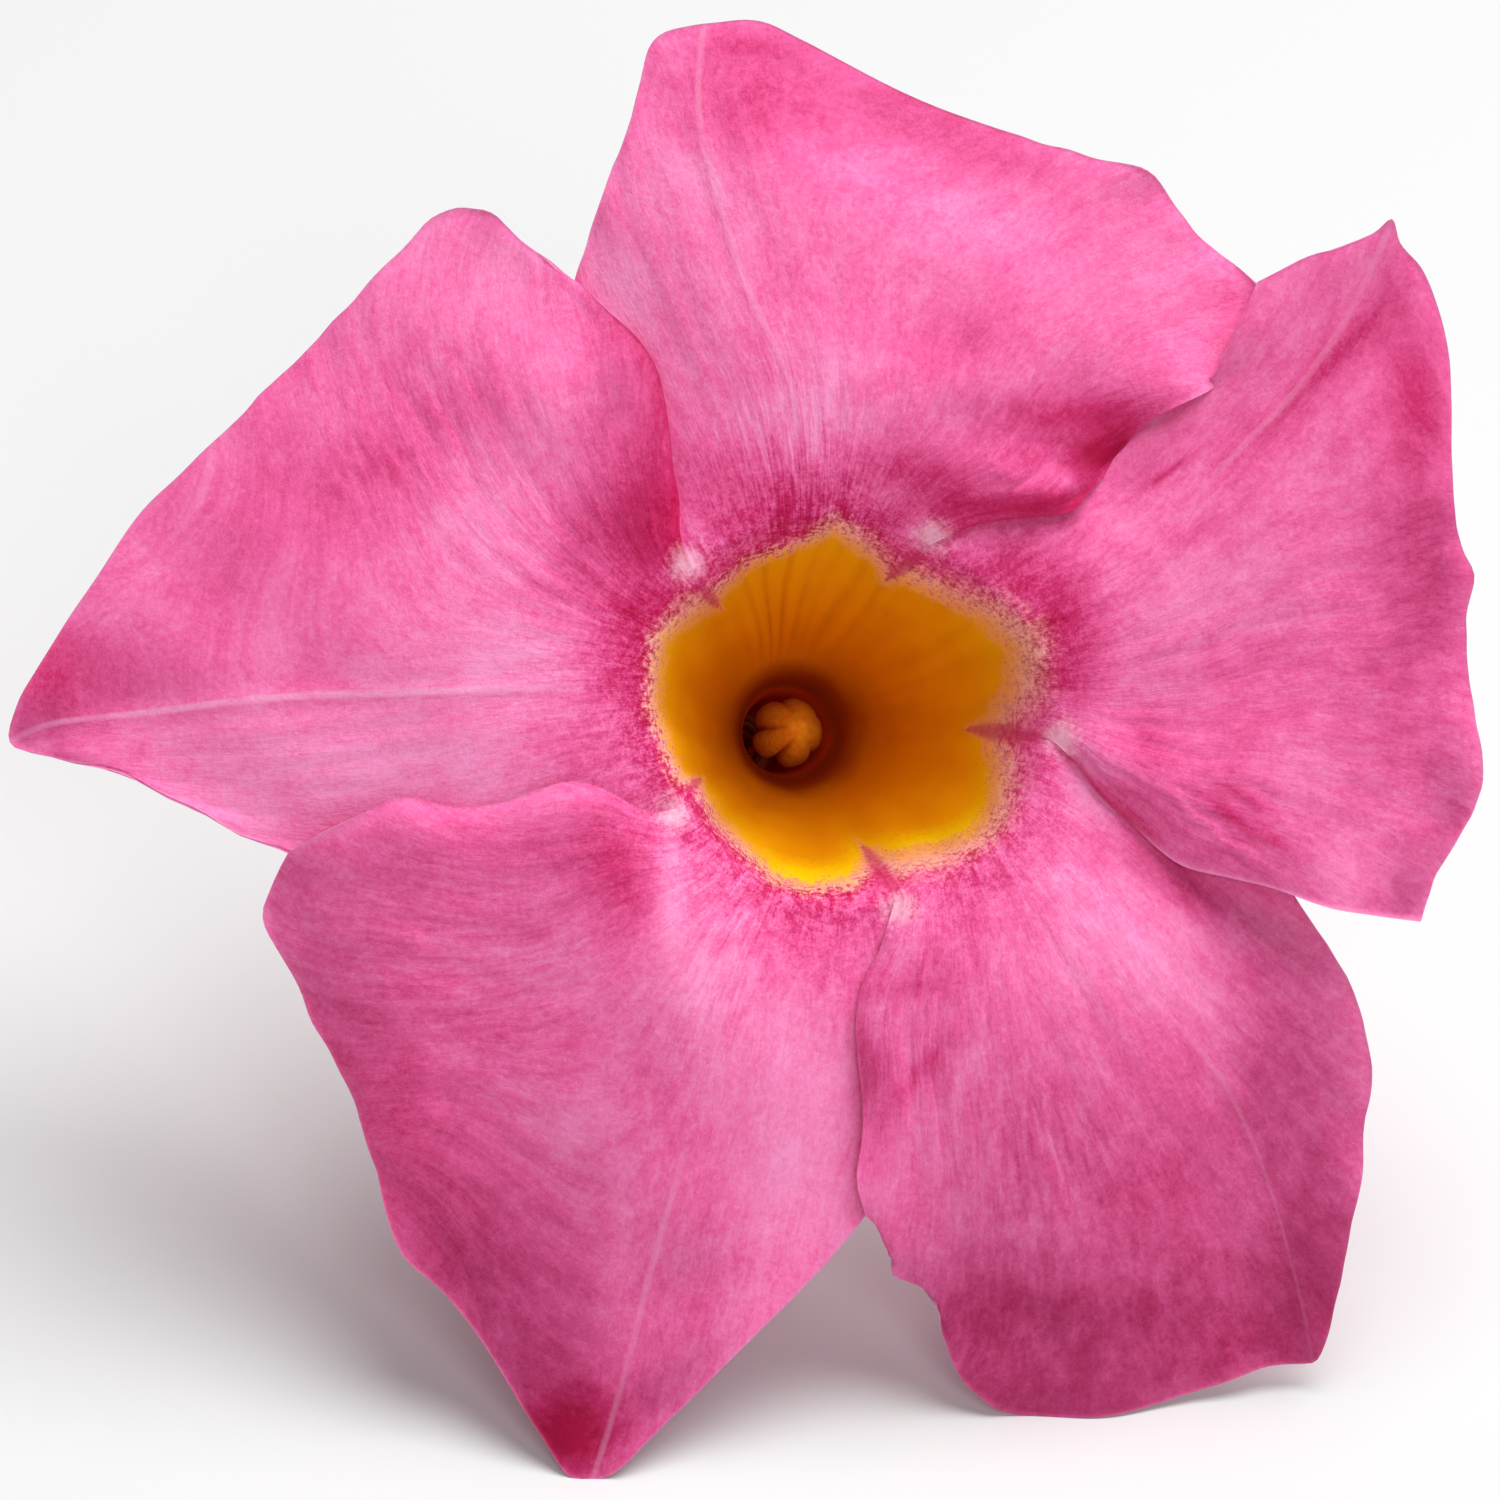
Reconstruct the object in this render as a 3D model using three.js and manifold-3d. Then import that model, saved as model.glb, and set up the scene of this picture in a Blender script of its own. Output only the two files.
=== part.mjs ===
// A mandevilla bloom, as picked, lying on its side: it leans back on the cut end of its stalk and on
// the edges of its two lower lobes, with its face turned up and forward.
// Millimetres, +Z up. The origin is on the surface it lies on, below the middle of its bounding box.
import * as THREE from 'three';
import { mergeVertices } from 'three/addons/utils/BufferGeometryUtils.js';
import Module from 'manifold-3d';

const wasm = await Module();
wasm.setup();

// ---------------------------------------------------------------- driving dimensions, in millimetres
const PETAL_THICKNESS = 0.7;
const MOUTH_RADIUS = 12.9; // mean radius of the five clefts round the mouth
const COLOUR_RADIUS = 11.25; // where the yellow throat ends and the pink limb begins
const COLOUR_NOTCH = 2.6; // how far the pink runs down into the yellow below each cleft
const NODE_GAP = 0.3; // between two pieces that touch
const SHAVE = 0.15; // how far a resting edge is flattened where it meets the surface

// The bloom's own frame: x to the right and y up across its face, z out of its mouth, with the
// origin at the middle of the mouth. It looks up by FACE_ELEVATION degrees above the horizon, and
// PLACE is where its origin stands over the surface.
const FACE_ELEVATION = 34;
const PLACE = [6.5, -10.75, 40.7 - SHAVE];

// Five clefts between the lobes, [x, y], from the top right round against the clock.
const CLEFTS = [[5.1, 11.0], [-10.2, 9.4], [-11.1, -6.2], [3.0, -12.3], [13.2, -1.6]];

// Half section of the corolla from just outside its mouth to its foot: [radius, depth] of the
// middle of its wall.
const SECTION = [
  [12.75, 0.22], [12.2, 0.58], [11.6, 1.25], [11.1, 2.2], [10.5, 4], [9.2, 8], [7.7, 12],
  [6.0, 16], [4.5, 19.5], [3.55, 22], [3.0, 24], [2.7, 26.5], [2.55, 31], [2.45, 37], [2.45, 44],
];
const LEAN = [-0.16, -0.047]; // how far the tube moves to the side for each millimetre of depth
const FOOT = 44; // depth of the foot of the tube
const FLUTE = 0.035; // share by which the wall bulges between the folds that run down from the clefts
const FLUTE_END = 20; // depth where those folds die out
const ROUND = 40; // cells round the wall
const FLARE_ROWS = 5; // cells down the pink part of the wall, and down the yellow part
const THROAT_ROWS = 15;
// The pink flare runs out thin under the roots of the lobes, and below them is as thick as this.
const FLARE_EDGE = [0.2, 0.6];
const FLARE_THICKNESS = 0.74;

// Each lobe is a sheet, twisted like a blade of a pinwheel. Its edge is given as [x, y, z] points:
// `under` is the margin tucked beneath the lobe before it, `rim` the free edge, from the end of that
// margin round to the other one, `over` the margin that lies on the lobe after it. `apex` counts the
// point of the rim where the midrib ends. `recurve` is how far the free edge bends back, and
// `relief` lists swellings (height above 0) and hollows: [across, along, height, width, length].
const LOBES = [
  {
    name: 'top',
    under: [[-12.1, 14.2, -0.9], [-14.7, 19.1, -1.6], [-16.8, 22.1, -1.8]],
    rim: [
      [-17.5, 24.4, -1.6], [-16.6, 27.0, -1.3], [-15.3, 31.2, -0.6], [-14.1, 34.3, -0.2],
      [-12.9, 37.9, 0], [-12.1, 40.9, 0], [-8.9, 42.0, -0.3], [-5.5, 42.1, -0.5], [-3.1, 41.1, -0.5],
      [3.0, 37.9, -0.8], [9.1, 35.6, -1.0], [15.2, 33.8, -1.0], [18.1, 33.1, -0.6], [19.5, 31.4, -1.0],
      [20.5, 29.9, -1.4], [22.6, 28.1, -1.6], [24.7, 26.2, -1.8], [26.7, 23.9, -2.0],
    ],
    apex: 6,
    over: [
      [7.9, 11.6, 0.6], [10.3, 12.0, 1.1], [13.3, 12.3, 1.2], [14.7, 13.6, 0.7], [16.1, 15.5, -0.3],
      [17.9, 17.6, -1.0], [21.6, 19.5, -1.0], [24.3, 21.2, -1.6],
    ],
    recurve: -1.5,
    relief: [[0.72, 0.28, 0.7, 0.16, 0.2], [0.88, 0.5, -1.2, 0.11, 0.13], [0.4, 0.6, 0.8, 0.3, 0.3]],
  },
  {
    name: 'left',
    under: [[-15.3, -8.3, -1.0], [-21.4, -10.2, -1.6], [-27.5, -10.5, -1.8]],
    rim: [
      [-32.6, -9.4, -1.8], [-34.2, -8.5, -1.7], [-37.2, -7.4, -1.6], [-40.6, -5.6, -1.8],
      [-45.7, -3.3, -2.4], [-49.4, -2.6, -3.0], [-51.5, -1.8, -3.6], [-51.1, 0.5, -3.4],
      [-50.0, 2.5, -3.2], [-48.1, 5.5, -3.0], [-45.7, 8.8, -2.8], [-43.3, 12.4, -2.6],
      [-40.6, 14.9, -2.4], [-36.6, 18.9, -2.2], [-31.7, 23.8, -2.0], [-27.8, 27.9, -1.8],
      [-25.6, 30.2, -1.6], [-23.5, 30.9, -1.4], [-21.9, 30.5, -1.0], [-20.2, 28.9, -0.6],
      [-18.0, 27.1, 0], [-16.6, 26.2, 0.1],
    ],
    apex: 6,
    over: [
      [-10.4, 10.8, 0.2], [-10.5, 13.0, 0.3], [-10.9, 15.1, 0.4], [-11.1, 17.2, 0.5],
      [-11.4, 19.4, 0.5], [-11.9, 21.2, 0.5], [-12.9, 22.7, 0.5], [-15.3, 25.0, 0.4],
    ],
    recurve: -2.5,
    relief: [[0.84, 0.55, 1.3, 0.12, 0.3], [0.45, 0.55, 0.8, 0.3, 0.3]],
  },
  {
    name: 'lower left',
    under: [[3.3, -16.3, -1.6], [3.3, -21.1, -2.6], [2.7, -26.0, -2.9]],
    rim: [
      [1.8, -29.4, -2.5], [0.7, -31.0, -2.6], [-1.3, -33.4, -2.6], [-4.3, -36.5, -2.7],
      [-9.2, -41.4, -2.8], [-12.2, -44.3, -2.9], [-14.6, -46.6, -3.0], [-15.8, -47.0, -3.0],
      [-17.1, -46.8, -3.0], [-18.9, -44.3, -3.2], [-22.0, -39.4, -3.5], [-25.0, -35.4, -3.8],
      [-27.3, -33.2, -4.0], [-28.4, -30.6, -4.0], [-29.6, -26.6, -4.2], [-30.6, -23.0, -4.2],
      [-32.9, -19.0, -4.0], [-34.5, -15.3, -3.6], [-35.9, -12.5, -3.0], [-35.5, -10.7, -2.4],
      [-34.3, -8.5, -1.2],
    ],
    apex: 7,
    over: [
      [-12.2, -6.0, 0.3], [-13.9, -5.3, 0.8], [-15.3, -4.6, 1.2], [-17.1, -4.3, 1.6],
      [-19.2, -4.8, 1.5], [-21.4, -5.5, 1.2], [-24.4, -5.7, 1.0], [-27.2, -5.1, 1.1],
      [-29.3, -5.9, 0.8], [-32.0, -7.2, 0.2],
    ],
    recurve: -2.5,
    relief: [[0.35, 0.35, 1.0, 0.25, 0.3], [0.8, 0.35, 0.9, 0.14, 0.2]],
  },
  {
    name: 'lower right',
    under: [[16.4, -3.5, -1.2], [20.6, -6.2, -2.2], [24.9, -8.6, -2.8]],
    rim: [
      [26.6, -10.2, -2.9], [27.3, -11.4, -3.0], [29.5, -14.6, -3.2], [31.1, -17.8, -3.6],
      [32.0, -22.2, -4.4], [31.6, -25.4, -5.0], [31.4, -28.7, -5.6], [30.7, -32.4, -6.5],
      [30.1, -35.7, -7.5], [29.4, -38.9, -8.6], [28.6, -40.0, -9.4], [26.1, -40.4, -9.2],
      [23.7, -41.1, -9.0], [20.0, -42.3, -8.7], [16.1, -43.3, -8.3], [12.7, -43.5, -8.1],
      [9.1, -42.9, -8.0], [6.9, -40.9, -7.2], [5.7, -38.2, -6.0], [5.1, -35.7, -5.0],
      [3.7, -35.0, -4.6], [2.6, -34.4, -4.4], [2.9, -33.2, -3.8], [2.3, -32.0, -3.0],
      [0.9, -30.7, -2.0],
    ],
    apex: 10,
    over: [
      [1.8, -14.3, 0.4], [0.7, -16.6, 0.8], [0.4, -18.7, 0.9], [0.5, -21.1, 0.8], [0.7, -23.6, 0.4],
      [0.7, -26.0, 0], [0.4, -28.7, -0.9],
    ],
    recurve: -7,
    relief: [[0.55, 0.4, 1.2, 0.3, 0.3], [0.88, 0.35, -0.4, 0.08, 0.15]],
  },
  {
    name: 'right',
    under: [[8.2, 13.0, -1.2], [12.1, 14.8, -2.2], [15.8, 16.9, -2.7], [19.1, 18.8, -1.9]],
    rim: [
      [21.7, 19.5, -0.7], [22.2, 20.8, -0.2], [23.4, 23.3, 0.6], [24.7, 26.2, 1.2], [27.3, 27.5, 1.4],
      [30.4, 28.6, 1.4], [32.1, 29.3, 1.6], [32.8, 30.0, 2.2], [33.3, 28.6, 1.4], [34.7, 27.1, 0.4],
      [35.7, 24.8, -0.4], [36.4, 22.1, -0.8], [36.6, 19.1, -1.2], [36.7, 14.2, -1.6],
      [37.3, 10.2, -1.8], [38.0, 8.4, -1.6], [37.6, 6.0, -1.8], [37.7, 3.2, -1.8], [38.1, -0.1, -1.8],
      [38.5, -4.6, -1.6], [36.9, -7.9, -1.2], [35.4, -10.5, -0.8], [34.7, -12.7, -0.2],
    ],
    apex: 7,
    over: [
      [13.9, -3.2, 0.2], [15.0, -4.7, 0.4], [17.0, -6.6, 0.7], [18.8, -8.3, 1.0], [20.3, -9.3, 1.2],
      [23.1, -10.0, 1.3], [25.8, -10.7, 1.2], [28.9, -11.8, 0.9], [31.6, -12.3, 0.4],
    ],
    recurve: -1.5,
    relief: [[0.8, 0.3, 1.2, 0.14, 0.25], [0.3, 0.5, 0.6, 0.2, 0.3]],
  },
];
const ROOT_RADIUS = 0.93; // where a lobe's sheet starts, as a share of the cleft's radius
const ROOT_DEPTH = 0.72;
const ROOT_RISE = 0.72; // slope at which it leaves the flared mouth
const ROOT_PULL = 0.62; // how far its veins run straight out before they spread
const RIM_PULL = 0.75;
const ALONG = 12; // cells from a lobe's root to its edge
const NOTCH_STEEPNESS = 8; // a colour notch is 2/8 as wide as the space between two clefts

// Stamens: five anthers leaned together round the stigma, each below a cleft. [radius, depth] points.
const ANTHER = [[0.3, 19.3], [0.85, 21.3], [1.3, 23.2], [1.47, 24.6]];
const ANTHER_RADIUS = 0.67;
const ANTHER_TIP = 0.55; // the share of that radius near the tip
const ANTHER_END = 0.3; // the share at either end
const FILAMENT = [[1.45, 24.2], [1.7, 26], [1.85, 27.6]];
const FILAMENT_RADIUS = 0.2;
// Pistil: [radius, depth] outline from the tip of the stigma down to the foot of the carpels.
const PISTIL = [
  [0, 23.2], [0.3, 23.5], [0.46, 24.1], [0.48, 24.8], [0.3, 25.2], [0.27, 28], [0.25, 33], [0.27, 38],
  [0.35, 40.4], [0.7, 41.3], [0.9, 42.4], [0.8, 43.4], [0.5, FOOT], [0, FOOT],
];
const NECTARY = { inner: 1.22, outer: 1.72, top: 42.5, shoulder: 0.4, glands: 5, groove: 0.08 };
// Calyx: a ring round the foot of the tube and five narrow sepals along it.
const CALYX = { inner: 3.12, outer: 3.8, top: 42.7, shoulder: 0.4, bevel: 0.25 };
const SEPAL = { length: 7.4, width: 2.3, thickness: 0.62, flare: 0.6, tip: 0.12, belly: 0.9 };
const SEPAL_CELLS = [6, 4];
// Stalk: a swollen receptacle under the calyx, then a bent round stalk with a cut end.
const RECEPTACLE = { radius: 3.5, height: 1.6 };
const STALK_RADIUS = 1.0;
const STALK_SWELL = 0.12; // share by which it is thicker under the receptacle
const STALK = [[-7.25, -2.25, -45.4], [-7.9, -3.1, -49], [-8.0, -5.2, -54], [-7.6, -8.35, -59.6]];

// ---------------------------------------------------------------- small tools
const mix = (a, b, t) => a + (b - a) * t;
const ease = (t) => t * t * (3 - 2 * t);
const clamp01 = (t) => Math.min(1, Math.max(0, t));
const curveOf = (points) => new THREE.CatmullRomCurve3(points.map((p) => new THREE.Vector3(...p)));

// A point in the leaning tube, at a radius and angle round its axis and a depth below the mouth.
function tubePoint(radius, angle, depth) {
  const lean = Math.max(depth, 0);
  const [x, y] = [radius * Math.cos(angle), radius * Math.sin(angle)];
  return new THREE.Vector3(x + LEAN[0] * lean, y + LEAN[1] * lean, -depth);
}

function geometryFrom(points, faces) {
  const geometry = new THREE.BufferGeometry();
  const numbers = points.flatMap((p) => p.toArray());
  geometry.setAttribute('position', new THREE.Float32BufferAttribute(numbers, 3));
  geometry.setIndex(faces);
  return geometry;
}

// A sheet with a thickness, round a grid of points on its middle surface: rows of columns.
// thickness(row, column) may vary. With `closed` the last column joins the first, as on a tube.
function sheet(rows, thickness, closed = false) {
  const [height, width] = [rows.length, rows[0].length];
  const columns = closed ? width : width - 1;
  const next = (c) => (closed ? (c + 1) % width : Math.min(c + 1, width - 1));
  const last = (c) => (closed ? (c + width - 1) % width : Math.max(c - 1, 0));
  const points = [];
  for (const side of [0.5, -0.5])
    for (let r = 0; r < height; r++)
      for (let c = 0; c < width; c++) {
        const along = rows[Math.min(r + 1, height - 1)][c].clone().sub(rows[Math.max(r - 1, 0)][c]);
        const across = rows[r][next(c)].clone().sub(rows[r][last(c)]);
        const normal = across.cross(along).normalize();
        points.push(rows[r][c].clone().addScaledVector(normal, side * thickness(r, c)));
      }
  const top = (r, c) => r * width + (c % width);
  const bottom = (r, c) => height * width + top(r, c);
  const faces = [];
  const quad = (a, b, c, d) => faces.push(a, b, c, a, c, d);
  for (let r = 0; r + 1 < height; r++)
    for (let c = 0; c < columns; c++) {
      quad(top(r, c), top(r, c + 1), top(r + 1, c + 1), top(r + 1, c));
      quad(bottom(r + 1, c + 1), bottom(r, c + 1), bottom(r, c), bottom(r + 1, c));
    }
  for (let c = 0; c < columns; c++) {
    quad(top(0, c), bottom(0, c), bottom(0, c + 1), top(0, c + 1));
    quad(top(height - 1, c + 1), bottom(height - 1, c + 1), bottom(height - 1, c), top(height - 1, c));
  }
  if (!closed)
    for (let r = 0; r + 1 < height; r++) {
      quad(top(r + 1, 0), bottom(r + 1, 0), bottom(r, 0), top(r, 0));
      quad(top(r, width - 1), bottom(r, width - 1), bottom(r + 1, width - 1), top(r + 1, width - 1));
    }
  return geometryFrom(points, faces);
}

// A closed skin over rings of points, all of one length, with a flat fan over the first and last.
function skin(rings) {
  const sides = rings[0].length;
  const middle = (ring) => ring.reduce((a, b) => a.clone().add(b)).multiplyScalar(1 / sides);
  const points = [...rings.flat(), middle(rings[0]), middle(rings[rings.length - 1])];
  const [first, final] = [points.length - 2, points.length - 1];
  const faces = [];
  for (let k = 0; k < sides; k++) {
    const n = (k + 1) % sides;
    for (let i = 0; i + 1 < rings.length; i++) {
      const [a, b] = [i * sides, (i + 1) * sides];
      faces.push(a + k, a + n, b + n, a + k, b + n, b + k);
    }
    const end = (rings.length - 1) * sides;
    faces.push(first, n, k, final, end + k, end + n);
  }
  return geometryFrom(points, faces);
}

// A rod along a curve. radiusAt gives its radius, from 0 at its start to 1 at its end.
function rod(curve, radiusAt, steps, sides) {
  const frames = curve.computeFrenetFrames(steps, false);
  const rings = [];
  for (let i = 0; i <= steps; i++) {
    const centre = curve.getPointAt(i / steps);
    const ring = [];
    for (let k = 0; k < sides; k++) {
      const angle = (2 * Math.PI * k) / sides;
      const out = frames.normals[i].clone().multiplyScalar(Math.cos(angle));
      out.addScaledVector(frames.binormals[i], Math.sin(angle));
      ring.push(centre.clone().addScaledVector(out, radiusAt(i / steps)));
    }
    rings.push(ring);
  }
  return skin(rings);
}

// Rings of a body turned about the leaning axis of the tube, from a [radius, depth] outline.
// shape(angle) scales the radius round the axis.
function turned(outline, sides, shape = () => 1) {
  const rings = [];
  for (const [radius, depth] of outline) {
    const ring = [];
    for (let k = 0; k < sides; k++) {
      const angle = (2 * Math.PI * k) / sides;
      ring.push(tubePoint(radius * shape(angle), angle, depth));
    }
    rings.push(ring);
  }
  return rings;
}

// A closed geometry as a solid that can be joined and cut, with its faces turned out.
function solid(geometry) {
  const bare = geometry.clone();
  bare.deleteAttribute('normal');
  bare.deleteAttribute('uv');
  const merged = mergeVertices(bare, 1e-4);
  const vertices = merged.attributes.position;
  const triVerts = new Uint32Array(merged.index.array);
  let volume = 0;
  const corner = (i) => new THREE.Vector3().fromBufferAttribute(vertices, triVerts[i]);
  for (let i = 0; i < triVerts.length; i += 3)
    volume += corner(i).dot(corner(i + 1).cross(corner(i + 2)));
  if (volume < 0)
    for (let i = 0; i < triVerts.length; i += 3)
      [triVerts[i], triVerts[i + 1]] = [triVerts[i + 1], triVerts[i]];
  return new wasm.Manifold(new wasm.Mesh({ numProp: 3, vertProperties: vertices.array, triVerts }));
}

const join = (solids) => solids.reduce((a, b) => a.add(b));

// The largest body of a solid. Fusing can seal small hollows between two lobes, and those are filled.
const outerBody = (made) => made.decompose().sort((a, b) => b.volume() - a.volume())[0];

function geometryOf(made) {
  const mesh = made.getMesh();
  const geometry = new THREE.BufferGeometry();
  geometry.setAttribute('position', new THREE.BufferAttribute(new Float32Array(mesh.vertProperties), 3));
  geometry.setIndex(new THREE.BufferAttribute(new Uint32Array(mesh.triVerts), 1));
  geometry.computeVertexNormals();
  return geometry;
}

// ---------------------------------------------------------------- the bloom's place on the surface
const bloom = new THREE.Group();
bloom.rotation.x = THREE.MathUtils.degToRad(90 - FACE_ELEVATION);
bloom.position.set(...PLACE);
bloom.updateMatrixWorld(true);

// The surface as a slab in the bloom's frame. What it cuts off leaves the flat spots to rest on.
function surfaceSlab() {
  const slab = new THREE.BoxGeometry(300, 300, 20).translate(0, 0, -10);
  return solid(slab.applyMatrix4(bloom.matrixWorld.clone().invert()));
}

// ---------------------------------------------------------------- corolla: mouth, throat and tube
const turn = 2 * Math.PI;
const cleftAngles = CLEFTS.map(([x, y]) => (Math.atan2(y, x) + turn) % turn);
const cleftRadii = CLEFTS.map(([x, y]) => Math.hypot(x, y));

// Round the mouth, q counts the clefts: 0 at the first, 1 at the second, and 5 back at the first.
function mouthAt(q) {
  const k = Math.floor(q) % 5;
  const share = q - Math.floor(q);
  const after = cleftAngles[(k + 1) % 5];
  const ahead = after > cleftAngles[k] ? after : after + turn;
  return {
    angle: mix(cleftAngles[k], ahead, share),
    scale: mix(cleftRadii[k], cleftRadii[(k + 1) % 5], ease(share)) / MOUTH_RADIUS,
    fold: Math.cos(turn * share),
    nearness: Math.max(0, 1 - NOTCH_STEEPNESS * Math.min(share, 1 - share)),
  };
}

const section = curveOf(SECTION.map(([radius, depth]) => [radius, depth, 0]));

// A point on the middle of the corolla's wall, u along the section and q round the mouth.
function wallPoint(u, q) {
  const { x: radius, y: depth } = section.getPoint(u);
  const { angle, scale, fold } = mouthAt(q);
  const fade = clamp01(1 - depth / FLUTE_END);
  const flute = 1 - FLUTE * fold * fade * clamp01(depth / 2.5);
  return tubePoint(radius * mix(1, scale, fade) * flute, angle, depth);
}

// The share of the section at which a test on its point comes true.
function sectionWhere(test) {
  let u = 0;
  while (!test(section.getPoint(u))) u += 0.0005;
  return u;
}

// The colour line round the wall, moved by a distance down the throat: a circle with a notch below
// each cleft. `notched` is the share of the notch's depth.
const colourDepth = section.getPoint(sectionWhere((p) => p.x <= COLOUR_RADIUS)).y;
function colourLine(q, shift, notched) {
  const depth = colourDepth + shift + notched * COLOUR_NOTCH * mouthAt(q).nearness;
  return sectionWhere((p) => p.y >= depth);
}

// The wall as a solid. place(share, q) gives the place on the section, from its upper edge at share
// 0 to its lower edge at 1.
function wall(place, rows, thickness) {
  const grid = [];
  for (let r = 0; r <= rows; r++) {
    const row = [];
    for (let c = 0; c < ROUND; c++) {
      const q = (CLEFTS.length * c) / ROUND;
      row.push(wallPoint(place(r / rows, q), q));
    }
    grid.push(row);
  }
  return solid(sheet(grid, thickness, true));
}

// ---------------------------------------------------------------- corolla: the five lobes
// The share across the root that a share across the rim grows from: the midrib is the middle of one.
const rootShare = (s, rib) => s / (s + (rib / (1 - rib)) * (1 - s));

// The middle surface of a lobe, a row for each step from its root to its rim.
function lobeRows(lobe, index) {
  const rim = lobe.rim.map((p) => new THREE.Vector3(...p));
  const reach = [0];
  rim.slice(1).forEach((p, i) => reach.push(reach[i] + p.distanceTo(rim[i])));
  const shares = reach.map((length) => length / reach[reach.length - 1]);
  const rib = shares[lobe.apex];

  // The lobe spans the mouth from its later cleft back to its own, so s runs with the clock.
  const rootAt = (s) => {
    const { angle, scale } = mouthAt(index + 1 - rootShare(s, rib));
    const radius = MOUTH_RADIUS * scale * ROOT_RADIUS;
    const out = new THREE.Vector3(Math.cos(angle), Math.sin(angle), ROOT_RISE);
    return { point: tubePoint(radius, angle, ROOT_DEPTH), out };
  };
  const margin = (s, points, end) => curveOf([rootAt(s).point.toArray(), ...points, end]);
  const under = margin(0, lobe.under, lobe.rim[0]);
  const over = margin(1, lobe.over, lobe.rim[lobe.rim.length - 1]);

  // A vein runs straight out of the mouth at its root, and bends back towards the rim.
  const vein = (c, t) => {
    const { point: root, out } = rootAt(shares[c]);
    const end = rim[c];
    const start = out.multiplyScalar(ROOT_PULL * Math.hypot(end.x - root.x, end.y - root.y));
    const finish = end.clone().sub(root).multiplyScalar(RIM_PULL).setZ(lobe.recurve);
    return root.multiplyScalar((1 + 2 * t) * (1 - t) ** 2)
      .addScaledVector(start, t * (1 - t) ** 2)
      .addScaledVector(finish, -t * t * (1 - t))
      .addScaledVector(end, t * t * (3 - 2 * t));
  };
  const rows = [];
  for (let r = 0; r <= ALONG; r++) {
    const t = r / ALONG;
    const low = under.getPointAt(t).sub(vein(0, t));
    const high = over.getPointAt(t).sub(vein(rim.length - 1, t));
    rows.push(shares.map((s, c) => {
      const point = vein(c, t);
      point.x += mix(low.x, high.x, s);
      point.y += mix(low.y, high.y, s);
      point.z += low.z * (1 - s) ** 2 + high.z * s ** 2;
      for (const [across, along, height, width, length] of lobe.relief) {
        const distance = ((s - across) / width) ** 2 + ((t - along) / length) ** 2;
        point.z += height * Math.exp(-distance) * Math.min(1, 8 * t) * Math.min(1, 8 * (1 - t));
      }
      return point;
    }));
  }
  return rows;
}

function corollaLimb() {
  const place = (share, q) => share * colourLine(q, -NODE_GAP / 2, share ** 2);
  const flare = wall(place, FLARE_ROWS, (r) => FLARE_EDGE[r] ?? FLARE_THICKNESS);
  const lobes = LOBES.map((lobe, i) => solid(sheet(lobeRows(lobe, i), () => PETAL_THICKNESS)));
  return geometryOf(outerBody(join([flare, ...lobes]).subtract(surfaceSlab())));
}

function corollaThroat() {
  const place = (share, q) => mix(colourLine(q, NODE_GAP / 2, (1 - share) ** 3), 1, share);
  return geometryOf(wall(place, THROAT_ROWS, () => PETAL_THICKNESS));
}

// ---------------------------------------------------------------- stamens, pistil and nectary
const swell = (t) => Math.sqrt(clamp01(1 - (2 * t - 1) ** 4));

function pistilSolid(spare) {
  const outline = PISTIL.map(([radius, depth]) => [radius + spare, depth]);
  outline[0][1] -= spare;
  return solid(skin(turned(outline, 12)));
}

function stamens() {
  const parts = [];
  for (const angle of cleftAngles) {
    const path = (line) => curveOf(line.map(([r, depth]) => tubePoint(r, angle, depth).toArray()));
    const taper = (t) => mix(ANTHER_TIP, 1, clamp01(2.2 * t)) * Math.max(ANTHER_END, swell(t));
    parts.push(solid(rod(path(ANTHER), (t) => ANTHER_RADIUS * taper(t), 8, 8)));
    parts.push(solid(rod(path(FILAMENT), () => FILAMENT_RADIUS, 4, 6)));
  }
  return geometryOf(outerBody(join(parts).subtract(pistilSolid(NODE_GAP))));
}

function nectary() {
  const { inner, outer, top, shoulder, glands, groove } = NECTARY;
  const lobed = (angle) => 1 + groove * Math.cos(glands * angle);
  const outline = [[outer * 0.82, top], [outer, top + shoulder], [outer, FOOT]];
  const body = skin(turned(outline, 30, lobed));
  const bore = skin(turned([[inner, top - 1], [inner, FOOT + 1]], 30));
  return geometryOf(solid(body).subtract(solid(bore)));
}

// ---------------------------------------------------------------- calyx and stalk
function calyx() {
  const { inner, outer, top, shoulder, bevel } = CALYX;
  const band = [[outer - bevel, top], [outer, top + shoulder], [outer, FOOT]];
  const ring = solid(skin(turned(band, 30)));
  const { length, width, thickness, flare, tip, belly } = SEPAL;
  const [lengthways, crossways] = SEPAL_CELLS;
  const sepals = cleftAngles.map((angle) => {
    const grid = [];
    for (let r = 0; r <= lengthways; r++) {
      const t = r / lengthways;
      const half = 0.5 * width * Math.sqrt(1 - t) * (1 + belly * t) + tip;
      const radius = mix(inner, outer, 0.55) + flare * t * t;
      const row = [];
      for (let c = 0; c <= crossways; c++) {
        const spread = (((2 * c) / crossways - 1) * half) / radius;
        row.push(tubePoint(radius, angle + spread, FOOT - 0.1 - length * t));
      }
      grid.push(row);
    }
    return solid(sheet(grid, () => thickness));
  });
  const bore = solid(skin(turned([[inner, top - 2], [inner, FOOT + 1]], 40)));
  return geometryOf(outerBody(join([ring, ...sepals]).subtract(bore)));
}

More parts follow.
